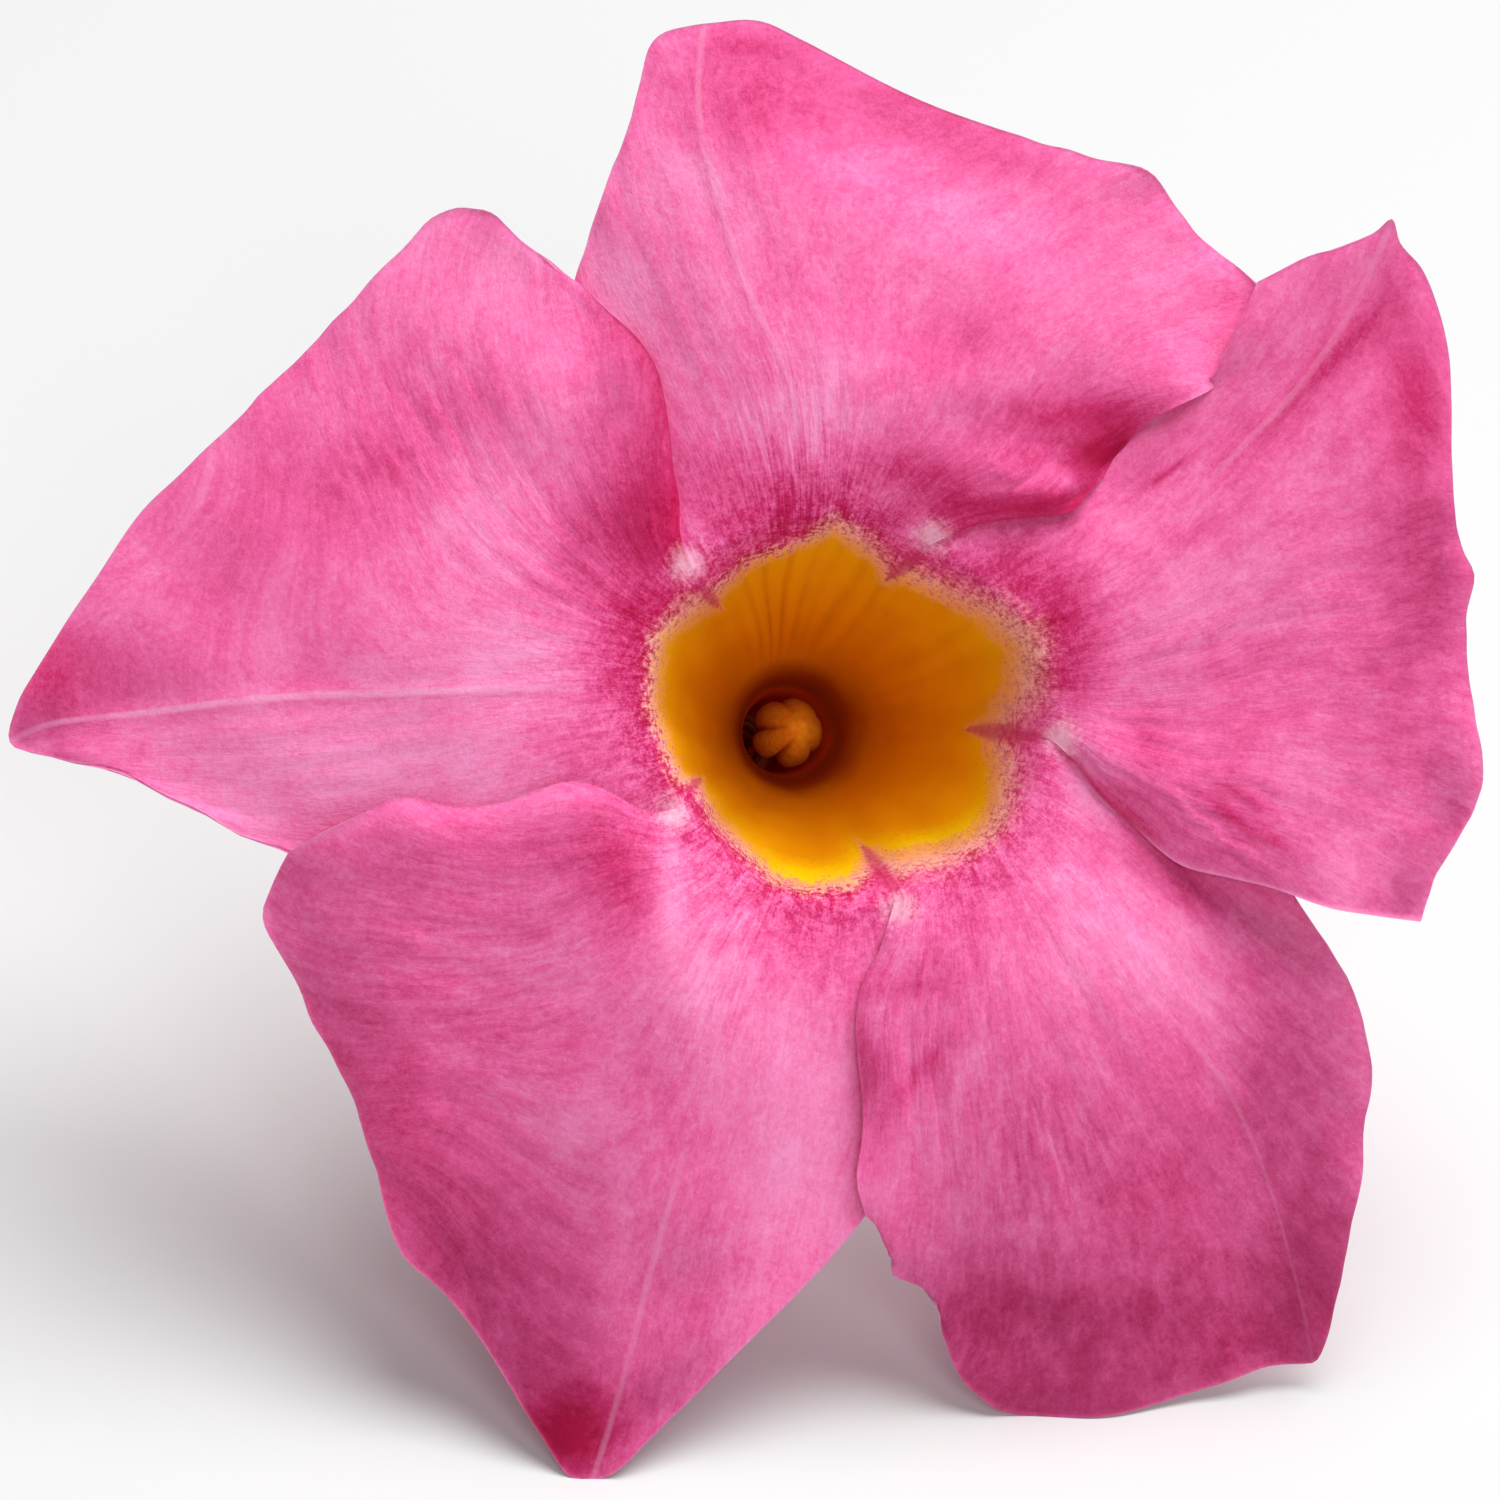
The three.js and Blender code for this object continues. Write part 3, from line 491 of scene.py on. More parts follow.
def throat_relief(lobe):
    """Height of the soft ridges and dents down the throat, strongest in its upper wall."""
    depth = np.maximum(lobe["depth"], 0)
    round_x, round_y = (12 * f(turn * lobe["q"] / 5)[None, :] for f in (np.cos, np.sin))
    wobble = waves(round_x, round_y + 0.4 * depth, 77, 8, (6, 14), (6, 14))
    ridges = np.zeros(depth.shape)
    for place, width, count, tall in RIDGES:
        away = np.mod(lobe["q"] - place + 2.5, 5) - 2.5
        ridges += tall * np.cos(turn * count * away + 1.2 * wobble) * bell(away, width)
    dents = DENT * waves(round_x, round_y + 0.3 * depth, 78, 8, (4, 9), (4, 9))
    wall = smooth(depth, 1.5, 4) * (1 - smooth(depth, 15, 20))
    lobe["ridges"] = ridges * wall
    return (ridges + dents) * wall


def crumple(lobe):
    """Ripples and wrinkles, the midrib, ridges down the throat, and an uneven free edge."""
    grid, up, over, under, rim = (lobe[key] for key in ("grid", "up", "over", "under", "rim"))
    seed = 10 * lobe["index"]
    fan = lobe["veins"] * 1.15
    free = smooth(up, 1.5, 8)
    calm = 1 - 0.9 * bell(under, 7.0)
    ripple = RIPPLE * waves(fan, up, seed + 1, 14, (1.6, 4.5), (16, 60)) * calm
    swell = SWELL * waves(grid[..., 0], grid[..., 1], seed + 2, 10, (9, 22), (9, 22))
    frill = FRILL * waves(fan, 0, seed + 3, 8, (3.0, 9.0)) * bell(np.minimum(rim, over + 2.0), 2.2)
    corner = np.hypot(np.minimum(over, under), rim)
    height = (ripple + swell + frill) * free * (1 - bell(corner, 2.0)) + midrib(lobe)
    height += wrinkles(lobe, seed) * free
    height[:WALL_ROWS] += throat_relief(lobe)[:WALL_ROWS]
    lobe["grid"] = grid + normals_of(grid) * height[..., None]
    tucked = bell(under, TUCK_WIDTH) * smooth(up, 1.5, 6) * smooth(rim, 3, 9)
    lobe["grid"][..., 2] -= TUCK * tucked
    # The rim is a little ragged.
    outwards = np.gradient(grid, axis=0)
    outwards /= np.linalg.norm(outwards, axis=-1, keepdims=True)
    ragged = RAGGED * waves(fan, 0, seed + 7, 10, (1.6, 5.0)) * bell(rim, 1.5)
    inside = smooth(over, 0.5, 3) * smooth(under, 0.5, 3)
    lobe["grid"] += outwards * (ragged * inside)[..., None]


# ------------------------------------------------------------------ where the colours change
# Edge of the yellow as seen from the front, (x, y), from its top round with the clock, and how wide
# the speckled fringe outside it is.
YELLOW_EDGE = [
    (-1.0, 10.9, 0.9), (0.6, 9.9, 1.0), (1.5, 9.1, 0.9), (2.0, 8.0, 0.5), (3.4, 8.1, 1.0),
    (6.0, 6.6, 1.3), (8.3, 5.3, 1.6), (9.6, 3.8, 1.9), (9.4, 1.9, 2.0), (8.3, -0.1, 1.7),
    (7.2, -1.0, 1.4), (8.1, -1.6, 1.5), (8.7, -3.5, 1.4), (8.5, -5.7, 1.3), (7.5, -7.3, 1.1),
    (5.2, -8.2, 1.3), (3.0, -8.6, 1.3), (1.1, -8.4, 0.8), (0.5, -8.0, 0.5), (0.7, -9.2, 0.8),
    (-0.1, -10.1, 0.7), (-2.7, -10.5, 0.6), (-4.6, -9.9, 0.6), (-6.5, -8.0, 0.6), (-8.0, -6.5, 0.6),
    (-9.0, -4.8, 0.5), (-9.2, -4.0, 0.5), (-10.3, -3.8, 0.6), (-11.1, -2.0, 0.6), (-11.8, 0.4, 0.7),
    (-11.7, 2.6, 0.7), (-11.3, 4.5, 0.8), (-9.2, 5.9, 1.4), (-8.0, 6.5, 1.0), (-7.9, 7.2, 0.8),
    (-6.1, 9.1, 0.5), (-3.1, 10.2, 0.5),
]
ALL_YELLOW = 12  # depth from which the throat is yellow all round
# Crimson spindles from the notches out towards the clefts: from, to, half width.
SPINDLES = [
    ((2.3, 8.3), (4.7, 10.2), 0.36), ((7.4, -1.0), (12.0, -1.5), 0.6), ((0.8, -8.3), (3.1, -11.4), 0.52),
    ((-8.1, 6.6), (-9.3, 7.8), 0.36), ((-9.3, -4.1), (-10.2, -4.9), 0.3),
]
# Deeper (above 0) and paler parts of each lobe: x, y, two half lengths, the first one's angle, strength.
# Most are the petal's own colour; some, as in the top lobe's pocket and under lying margins, are painted
# shade.
TONES = [
    [
        (-6.2, 36.7, 5.5, 3.2, 0, 0.3), (5.5, 36, 6, 2.2, -25, 0.18), (6, 22.7, 3.5, 2, 0, 0.18),
        (-4.0, 13.4, 5, 2.6, 0, 0.25), (4.5, 14.2, 4, 2.2, -15, 0.3), (-9.2, 25.2, 4, 8, 0, -0.08),
        (15.3, 15.9, 2.8, 1.4, 28, 0.75), (11, 12.8, 5, 0.8, 2, 0.45), (14.3, 18.3, 4.5, 1.1, 5, 0.4),
        (11.0, 15.8, 2.2, 1.6, 10, 0.25), (13.2, 14.1, 1.2, 0.5, -45, -0.25),
        (20.6, 23.3, 4, 3, 0, 0.04), (-11.3, 34, 3.5, 5, 0, -0.12), (0.5, 19, 4, 4, 0, -0.15),
        (-10.3, 16, 2.6, 6, 0, 0.05), (-3.1, 17.6, 3, 2.5, 0, -0.15), (-14.3, 25.3, 1.8, 3.2, 0, -0.3),
        (2.7, 19.8, 2, 1.6, 0, 0.15), (-6, 40.8, 3, 1.2, 0, 0.25), (2.6, 13.2, 1.8, 1.4, 0, -0.15),
    ],
    [
        (-30.5, 14.2, 10, 3, 30, 0.2), (-12.8, 12, 3.2, 3.6, 0, 0.4), (-48, 2, 4, 3, 0, 0.35),
        (-12.8, 3.8, 3, 5, 0, 0.35), (-20.5, 3.2, 6.5, 2.4, 0, -0.25), (-36.6, -7.7, 7, 3, -20, -0.1),
        (-21.4, 13.5, 4, 4, 0, -0.13), (-23, 27.6, 5, 3, 0, -0.1), (-28, -2.5, 14, 3.2, 0, -0.22),
        (-17.7, -2.2, 2.5, 1.6, 0, 0.2), (-16.3, 10, 2.2, 3, 0, 0.15),
    ],
    [
        (-26, -10, 8, 3, 0, 0.1), (-14.2, -9.8, 2.0, 3.6, 15, 0.32), (-19, -8, 4, 1.6, 0, 0.12),
        (-27.5, -24, 5, 10, -20, 0.15), (-24, -30, 5, 8, 30, 0.1), (-17.3, -44.2, 3.2, 2.4, 0, 0.8),
        (-17, -41, 4.5, 3, 0, 0.15), (-11, -10.5, 0.9, 4, 0, -0.35), (-8.5, -16, 3.5, 5, 0, -0.15),
        (-3, -26.6, 4, 8, 0, -0.2), (-31.7, -17.5, 3, 4, 0, 0.08), (-22.5, -34.5, 5, 6, 30, 0.1),
        (-2, -14, 2, 2, 0, 0.15),
    ],
    [
        (8, -39, 4, 5, 0, 0.15), (9, -15, 6, 4, 0, 0.12), (17, -37.6, 12, 5, 0, 0.18),
        (16.5, -13.5, 6, 2.5, -40, -0.2), (20.8, -10.9, 4, 1.2, -36, 0.3), (11.5, -15, 4, 3, 0, -0.15),
        (16.4, -26.6, 6, 5, 0, 0.12), (25, -30, 5, 8, 0, 0.1), (1.4, -21.6, 1.0, 2.2, 10, 0.2),
        (3.4, -16.7, 3.0, 0.5, 6, 0.14), (4.2, -21.8, 2.6, 0.6, 50, 0.25),
        (2.0, -25.4, 0.8, 2.6, -20, 0.15), (14.4, -4.8, 1.8, 1.8, 0, -0.3),
        (2.4, -13.7, 1.5, 1.5, 0, -0.25), (13, -42.5, 9, 2, -5, 0.12), (19, -30, 3, 2.5, 0, 0.12),
        (29, -36, 3, 5, 0, 0.1), (24.5, -39.3, 3.5, 1.8, -8, 0.15), (23.6, -12.8, 2, 1.4, -30, -0.2),
    ],
    [
        (12.7, 5.7, 2.6, 4.5, 0, 0.42), (34, 20, 2.2, 5, 0, 0.3), (20.6, 10.6, 2, 1.0, 20, 0.25),
        (19.3, 14.6, 1.9, 0.22, 36, 0.5), (29.7, 21.9, 3.6, 0.5, 48, 0.25),
        (18.0, -1.8, 1.6, 2.2, 0, 0.25), (24.0, -5.2, 1.6, 0.3, -30, 0.3),
        (23.3, -6.4, 1.8, 0.3, -35, 0.3), (25.6, -7.6, 1.6, 0.3, -40, 0.2), (24, 2, 8, 9, 0, 0.06),
        (28, 20, 8, 1.5, 50, 0.2), (34.6, 10, 2.5, 10, 0, 0.2), (23.7, -6.5, 4, 2, -30, 0.2),
        (18.2, 0.8, 4, 4, 0, -0.15), (30.2, -8.8, 2.6, 2.6, 0, -0.12), (22, 8, 6, 4, 0, -0.2),
        (21.5, 0.3, 4, 3, 0, 0.08), (16.6, -5.6, 3.5, 0.5, -42, 0.15), (20, -7, 3, 1, -38, 0.1),
        (13.4, -3.2, 1.4, 1.4, 0, -0.4), (9.5, 8.4, 2.6, 1.6, -40, 0.2),
        (27.6, -3.3, 2.5, 2.2, 0, -0.2),
    ],
]
# Painted shade on each lobe, as above: darker, mostly where its surface turns away from the light
# or lies in the shadow of a margin.
SHADES = [
    [(15.3, 15.4, 2.8, 1.8, 40, 0.62), (8.8, 18.5, 5.2, 2.3, -4, 0.8), (12.6, 16.4, 2, 1.3, 0, 0.4)],
    [
        (-12.4, 16, 1.6, 6, 0, 0.5), (-44, 3, 6, 4, 0, 0.2), (-32, 16, 10, 8, 0, 0.1),
        (-14.8, 19.2, 1.7, 2.6, 0, 0.75), (-49.4, -1, 2.8, 2, 0, 0.8), (-16.2, 10, 2.2, 3, 0, 0.3),
    ],
    [
        (-31, -17, 4, 9, 20, 0.45), (-22, -35, 7, 9, 25, 0.9), (-17.5, -42, 4, 5, 0, 0.5),
        (-27, -9, 7, 2, 0, 0.15), (-16, -22, 10, 12, 0, 0.18), (-11.2, -41.2, 4.5, 1.8, 45, 0.7),
        (-9.7, -33.5, 3, 3, 0, 0.45), (-15, -6.3, 2.4, 1.2, 0, 0.45),
    ],
    [
        (7, -36, 5, 6, 0, 0.4), (27, -24, 5, 10, 10, 0.9), (17, -38, 13, 5.5, 0, 0.9),
        (1.4, -20.5, 1.6, 3.2, 0, 0.3), (14, -27, 8, 7, 0, 0.35), (21.5, -11.3, 5, 1.5, -34, 0.5),
        (25, -13.5, 4, 2.5, -30, 0.1), (13.5, -43, 10, 2.4, 0, 0.7), (29.3, -35.5, 2.8, 6, 0, 0.7),
        (27.5, -39, 3, 1.8, 0, 0.4),
    ],
    [
        (34.5, 6, 3.5, 11, 0, 0.45), (31, 24, 5, 5, 0, 0.25), (34, -11, 2.2, 2.6, 0, 0.8),
        (36.8, -5.6, 1.6, 4, 10, 0.75), (36.3, 10.2, 1.6, 3, 0, 0.4), (25, 2, 12, 15, 0, 0.4),
        (30, -7, 4, 4, 0, 0.2), (17.4, 15.0, 3, 1.6, 45, 0.35), (10.5, 10.8, 3, 1, 20, 0.25),
    ],
]
# Parts of each lobe with fine streaks from its root, as above.
STREAKS = [
    [(-3.5, 15, 4, 5, 0, 0.8), (-6, 22, 4, 8, 0, 0.15), (9, 33, 9, 3, -25, 0.1)],
    [(-25, 15, 5, 9, 35, 0.35), (-16, 3, 6, 6, 0, 0.25)],
    [(-24, -15, 9, 7, 0, 0.35), (-8, -15, 3, 6, 0, 0.4), (-20, -28, 9, 7, 0, 0.15)],
    [(12, -27, 6, 6, 0, 0.5), (19, -36, 9, 6, 0, 0.25), (4, -20, 4, 5, 0, 0.3)],
    [(34, 5, 4, 12, 0, 0.25), (23, -6, 5, 3, -30, 0.4), (15, 4, 4, 5, 0, 0.2)],
]
# Painted shade on the throat's wall, browner there, as above.
THROAT_SHADE = [
    (0.6, -0.4, 4.2, 2.6, -12, 0.8), (-4.5, -1.0, 4.4, 4.2, 0, 0.6), (0, 4.5, 6, 4, 0, 0.2),
    (-7.2, -0.8, 1.8, 3.2, 0, 0.5),
]
# Where the edge of the yellow is brightest, as above: partly its own colour, partly painted light,
# mostly on the throat's lower lip.
GOLD_AND_LIGHT = [
    (-2.5, -10.4, 4, 1.8, 0, 0.95), (5.3, -8.0, 4, 1.6, 12, 0.85), (-7.5, -7.5, 3, 2, -50, 0.3),
    (8.8, -4, 1.5, 3, 0, 0.35), (9, 4, 2, 3, 0, 0.2),
]
# Where a lobe's margin lies on another lobe: how much deeper its colour gets towards the edge, as painted
# shade of the rolled margin, over what width, and up to how far from the root; how strong a crimson line
# of painted shadow and then a pale line of painted highlight the edge has.
EDGES = [
    (0.2, 1.0, 10, 0.7, 0.0), (0.3, 2.0, 15, 0.5, 0.0), (0.0, 1.0, 20, 0.0, 0.3),
    (0.05, 1.2, 14, 0.3, 0.0), (0.1, 0.8, 7, 0.8, 0.4),
]


def from_edge(points):
    """Distance outwards from the edge of the yellow, as seen from the front, and its fringe there."""
    p = points[..., None, :2]
    corners = np.array(YELLOW_EDGE)
    a, b = corners[:, :2], np.roll(corners[:, :2], -1, 0)
    along = (((p - a) * (b - a)).sum(-1) / ((b - a) ** 2).sum(-1)).clip(0, 1)
    distance = np.linalg.norm(p - a - (b - a) * along[..., None], axis=-1)
    k = distance.argmin(-1)
    distance = distance.min(-1)
    share = np.take_along_axis(along, k[..., None], -1)[..., 0]
    fringe = corners[k, 2] * (1 - share) + corners[(k + 1) % len(corners), 2] * share
    x, y = p[..., 0], p[..., 1]
    crosses = (a[:, 1] > y) != (b[:, 1] > y)
    with np.errstate(divide="ignore", invalid="ignore"):
        at = a[:, 0] + (y - a[:, 1]) / (b[:, 1] - a[:, 1]) * (b[:, 0] - a[:, 0])
    inside = (crosses & (x < at)).sum(-1) % 2 == 1
    return np.where(inside, -distance, distance), fringe


def from_spindles(points):
    """Distance from the middle line of the nearest spindle, in its half widths."""
    nearest = np.full(points.shape[:2], 9.0)
    for start, end, width in SPINDLES:
        a, b = np.array(start), np.array(end)
        share = ((points[..., :2] - a) @ (b - a) / ((b - a) @ (b - a))).clip(0, 1)
        away = np.linalg.norm(points[..., :2] - a - share[..., None] * (b - a), axis=-1)
        nearest = np.minimum(nearest, away / (width * (0.25 + 0.75 * np.sin(math.pi * share))))
    return nearest


def fields(lobe):
    """What the petal's material reads at each point, in millimetres."""
    points, index, over, up = lobe["grid"], lobe["index"], lobe["over"], lobe["up"]
    ring, lobe["fringe"] = from_edge(points)
    # Deep in the tube it is all yellow, wherever the tube lies as seen from the front.
    deep = np.minimum(ALL_YELLOW - lobe["depth"], 0) / 2
    lobe["ring"] = np.where(deep < 0, np.minimum(ring, deep), ring)
    lobe["spindle"] = np.where(deep < 0, 9, from_spindles(points))
    spots = np.array([(*c, -0.1) for c in CLEFTS]) * (0.965, 0.965, 1)
    lobe["spot"] = np.min([np.linalg.norm(points - p, axis=-1) for p in spots], axis=0)
    # Of these, the shades and the throat's browner patches are painted shade, some tones are too, and the
    # gold is partly painted light.
    tables = dict(tone=TONES[index], shade=SHADES[index], streak=STREAKS[index], brown=THROAT_SHADE, gold=GOLD_AND_LIGHT)
    for name, table in tables.items():
        lobe[name] = sum(strength * patch(points, *place) for *place, strength in table)
    # Painted shade: the hollows between the ridges are browner, and their crests less brown.
    lobe["brown"] = lobe["brown"] - 3.5 * lobe["ridges"]
    # Painted shade where a lying margin rolls down, a crimson line of painted shadow at its edge, and a
    # pale line of painted highlight on its edge further out and all round the rim.
    deeper, width, reach, crimson, pale = EDGES[index]
    near = smooth(up, 0.8, 2.5) * (1 - smooth(up, reach, reach + 4))
    lobe["tone"] = lobe["tone"] + deeper * bell(over, width) * near
    lobe["line"] = crimson * bell(over, 0.25) * near
    far = smooth(up, reach, reach + 3) * bell(over, 0.2)
    lobe["light"] = np.maximum(pale * far, 0.1 * bell(lobe["rim"], 0.2))
    strong, start, _ = RIBS[index]
    lobe["vein"] = strong * smooth(up, start, start + 8)


# ------------------------------------------------------------------ corolla: one closed skin
def join_grids():
    """Numbers the points of all lobes, with the wall's shared columns once."""
    rows, columns = WALL_ROWS + LOBE_ROWS + 1, COLUMNS + 1
    ids = np.arange(5 * rows * columns).reshape(5, rows, columns)
    for k in range(5):
        ids[k, : WALL_ROWS + 1, -1] = ids[k - 1, : WALL_ROWS + 1, 0]
    used, flat = np.unique(ids, return_inverse=True)
    return used, flat.reshape(ids.shape)


def quads_of(ids):
    a, b, c, d = ids[:, :-1, :-1], ids[:, :-1, 1:], ids[:, 1:, 1:], ids[:, 1:, :-1]
    return np.stack([a, b, c, d], -1).reshape(-1, 4)


def listed(lobes, key):
    """A quantity at all points of all lobes, as one list."""
    values = np.stack([lobe[key] for lobe in lobes])
    return values.reshape(-1, *values.shape[3:])


def corolla_mesh(lobes):
    """Its vertices, quads and triangles, each vertex's point in the grids, and 1 for the under side."""
    used, ids = join_grids()
    points = listed(lobes, "grid")[used]
    half = listed(lobes, "half")[used][:, None]
    quads = quads_of(ids)
    normals = vertex_normals(points, quads)

    # The under side has a quarter of the cells.
    coarse = ids[:, ::2, ::2]
    kept, under = np.unique(coarse, return_inverse=True)
    n, below = len(points), len(kept)
    place = np.full(n, -1)
    place[kept] = n + np.arange(below)
    vertices = [points + normals * half, (points - normals * half)[kept]]
    sources = [np.arange(n), kept]
    faces = [quads, n + quads_of(under.reshape(coarse.shape))[:, ::-1]]
    triangles = []

    outline = []
    for k in range(4, -1, -1):
        outline += [*ids[k, WALL_ROWS:-1, 0], *ids[k, -1, :-1], *ids[k, :WALL_ROWS:-1, -1]]
    foot = [i for k in range(4, -1, -1) for i in ids[k, 0, :-1]][::-1]
    count = n + below
    for loop in (np.array(outline), np.array(foot)):
        if place[loop[0]] < 0:
            loop = np.roll(loop, -1)
        forward = np.roll(points[loop], -1, 0) - np.roll(points[loop], 1, 0)
        outward = np.cross(forward, normals[loop])
        outward /= np.linalg.norm(outward, axis=1, keepdims=True)
        vertices.append(points[loop] + outward * half[loop] * BULGE)
        sources.append(loop)
        middle = count + np.arange(len(loop))
        count += len(loop)
        faces.append(np.stack([np.roll(loop, -1), loop, middle, np.roll(middle, -1)], -1))
        # On the under side one edge meets two cells of the band.
        low = place[loop[::2]]
        low_next = np.roll(low, -1)
        a, m, b = middle[::2], middle[1::2], np.roll(middle[::2], -1)
        corners = ((m, a, low), (m, low, low_next), (b, m, low_next))
        triangles += [np.stack(three, -1) for three in corners]
    source = used[np.concatenate(sources)]
    side = np.zeros(count)
    side[n : n + below] = 1
    return np.vstack(vertices), np.vstack(faces), np.vstack(triangles), source, side


def vertex_normals(points, quads):
    p = points[quads]
    n = np.cross(p[:, 2] - p[:, 0], p[:, 3] - p[:, 1])
    total = np.zeros_like(points)
    for k in range(4):
        for axis in range(3):
            total[:, axis] += np.bincount(quads[:, k], n[:, axis], len(points))
    return total / np.maximum(np.linalg.norm(total, axis=1, keepdims=True), 1e-12)


def new_mesh(name, vertices, polygons, material):
    mesh = bpy.data.meshes.new(name)
    mesh.from_pydata(vertices.tolist(), [], [list(map(int, p)) for p in polygons])
    mesh.polygons.foreach_set("use_smooth", np.ones(len(mesh.polygons), bool))
    mesh.materials.append(material)
    mesh.update()
    thing = bpy.data.objects.new(name, mesh)
    bpy.context.scene.collection.objects.link(thing)
    return thing


def add_field(mesh, name, values):
    kind = "FLOAT_VECTOR" if values.ndim == 2 else "FLOAT"
    data = mesh.attributes.new(name, kind, "POINT").data
    data.foreach_set("vector" if values.ndim == 2 else "value", values.astype(np.float32).ravel())


# What the petal's material reads at each vertex, under these names with p_ before them.
FIELDS = (
    "ring", "fringe", "spot", "spindle", "tone", "shade", "streak", "line",
    "light", "vein", "brown", "gold", "side", "depth", "fan", "along",
)


def corolla(material):
    lobes = [lobe_grid(lobe, k) for k, lobe in enumerate(LOBES)]
    for lobe in lobes:
        measure(lobe)
    for k, lobe in enumerate(lobes):
        settle(lobe, lobes[k - 1])
    for lobe in lobes:
        crumple(lobe)
        fields(lobe)
        margin = np.minimum(lobe["rim"], np.minimum(lobe["over"], lobe["under"]))
        margin[: WALL_ROWS + 1] = 9
        lobe["half"] = HALF - THINNER * bell(margin, THIN_WIDTH)
        # Each lobe reads a part of its own of the noises.
        layer = lobe["index"] * 9.0
        lobe["fan"] = np.stack(np.broadcast_arrays(lobe["veins"], lobe["along"], layer), -1)
    vertices, quads, triangles, source, side = corolla_mesh(lobes)
    world = to_world(vertices)
    world[:, 2] = np.maximum(world[:, 2], LEAST_HEIGHT)
    thing = new_mesh("corolla", world, [*quads.tolist(), *triangles.tolist()], material)
    for name in FIELDS:
        add_field(thing.data, "p_" + name, listed(lobes, name)[source])
    add_field(thing.data, "p_under", side)
    return thing


# ------------------------------------------------------------------ materials
def srgb(r, g, b):
    linear = [((c / 255 + 0.055) / 1.055) ** 2.4 if c > 10 else c / 255 / 12.92 for c in (r, g, b)]
    return (*linear, 1)


class Graph:
    """Short names for the nodes of one material."""

    def __init__(self, name, roughness, specular):
        self.material = bpy.data.materials.new(name)
        self.material.use_nodes = True
        self.tree = self.material.node_tree
        self.shader = self.tree.nodes["Principled BSDF"]
        self.shader.inputs["Roughness"].default_value = roughness
        self.shader.inputs["Specular IOR Level"].default_value = specular
        self.noises = {}

    def glow_through(self, weight, radius_mm):
        """Lets light in below the surface, red, green and blue as far as radius_mm says."""
        self.shader.inputs["Subsurface Weight"].default_value = weight
        self.shader.inputs["Subsurface Radius"].default_value = radius_mm
        self.shader.inputs["Subsurface Scale"].default_value = MM

    def node(self, kind, settings=None, **inputs):
        made = self.tree.nodes.new(kind)
        for key, value in (settings or {}).items():
            setattr(made, key, value)
        for key, value in inputs.items():
            self.plug(value, made.inputs[key.replace("_", " ")])
        return made

    def plug(self, value, socket):
        if isinstance(value, bpy.types.NodeSocket):
            self.tree.links.new(value, socket)
        else:
            socket.default_value = value

    def field(self, name, vector=False):
        made = self.node("ShaderNodeAttribute", dict(attribute_name=name))
        return made.outputs["Vector" if vector else "Fac"]

    def place(self):
        """Place in space, in millimetres."""
        return self.scaled(self.node("ShaderNodeTexCoord").outputs["Object"], 1000, 1000, 1000)

    def math(self, operation, a, b):
        made = self.node("ShaderNodeMath", dict(operation=operation))
        self.plug(a, made.inputs[0])
        self.plug(b, made.inputs[1])
        return made.outputs[0]

    def add(self, *values):
        total = values[0]
        for value in values[1:]:
            total = self.math("ADD", total, value)
        return total

    def times(self, *values):
        total = values[0]
        for value in values[1:]:
            total = self.math("MULTIPLY", total, value)
        return total

    def span(self, value, low, high, to_low=0.0, to_high=1.0):
        """A smooth step from to_low at low to to_high at high."""
        made = self.node("ShaderNodeMapRange", dict(interpolation_type="SMOOTHSTEP"))
        self.plug(value, made.inputs[0])
        for k, number in enumerate((low, high, to_low, to_high)):
            self.plug(number, made.inputs[k + 1])
        return made.outputs[0]

    def scaled(self, vector, x, y, z=1.0):
        made = self.node("ShaderNodeVectorMath", dict(operation="MULTIPLY"))
        self.plug(vector, made.inputs[0])
        made.inputs[1].default_value = (x, y, z)
        return made.outputs[0]

    def noise(self, vector, scale=1.0, detail=2.0, roughness=0.5, distortion=0.0):
        look = dict(Scale=scale, Detail=detail, Roughness=roughness, Distortion=distortion)
        return self.node("ShaderNodeTexNoise", Vector=vector, **look).outputs["Fac"]

    def around(self, value, amount):
        """A noise of 0 to 1 as a signed amount round 0."""
        return self.times(self.math("SUBTRACT", value, 0.5), amount)

    def vary(self, value, **amounts):
        """A value with this material's noises added by name, each as a signed amount round 0."""
        return self.add(value, *(self.around(self.noises[name], much) for name, much in amounts.items()))

    def mix(self, share, a, b, blend="MIX"):
        made = self.node("ShaderNodeMix", dict(data_type="RGBA", blend_type=blend))
        self.plug(share, made.inputs[0])
        self.plug(a, made.inputs[6])
        self.plug(b, made.inputs[7])
        return made.outputs[2]

    def ramp(self, value, stops):
        made = self.node("ShaderNodeValToRGB")
        elements = made.color_ramp.elements
        while len(elements) < len(stops):
            elements.new(0.5)
        for element, (place, colour) in zip(elements, stops):
            element.position, element.color = place, colour
        self.plug(value, made.inputs[0])
        return made.outputs[0]

    def bump(self, height, distance_mm, strength):
        made = self.node("ShaderNodeBump", Height=height, Strength=strength, Distance=distance_mm * MM)
        self.tree.links.new(made.outputs[0], self.shader.inputs["Normal"])

    def paint(self, colour):
        self.plug(colour, self.shader.inputs["Base Color"])
        return self.material


PALE, PINK = srgb(252, 154, 204), srgb(240, 104, 166)
DEEP, CRIMSON = srgb(210, 52, 116), srgb(186, 12, 74)
SHADED = (0.58, 0.4, 0.5, 1)  # what the shade multiplies the pink by
FALL_WIDTH = 2.6  # over how many millimetres the deeper pink round the yellow fades outwards
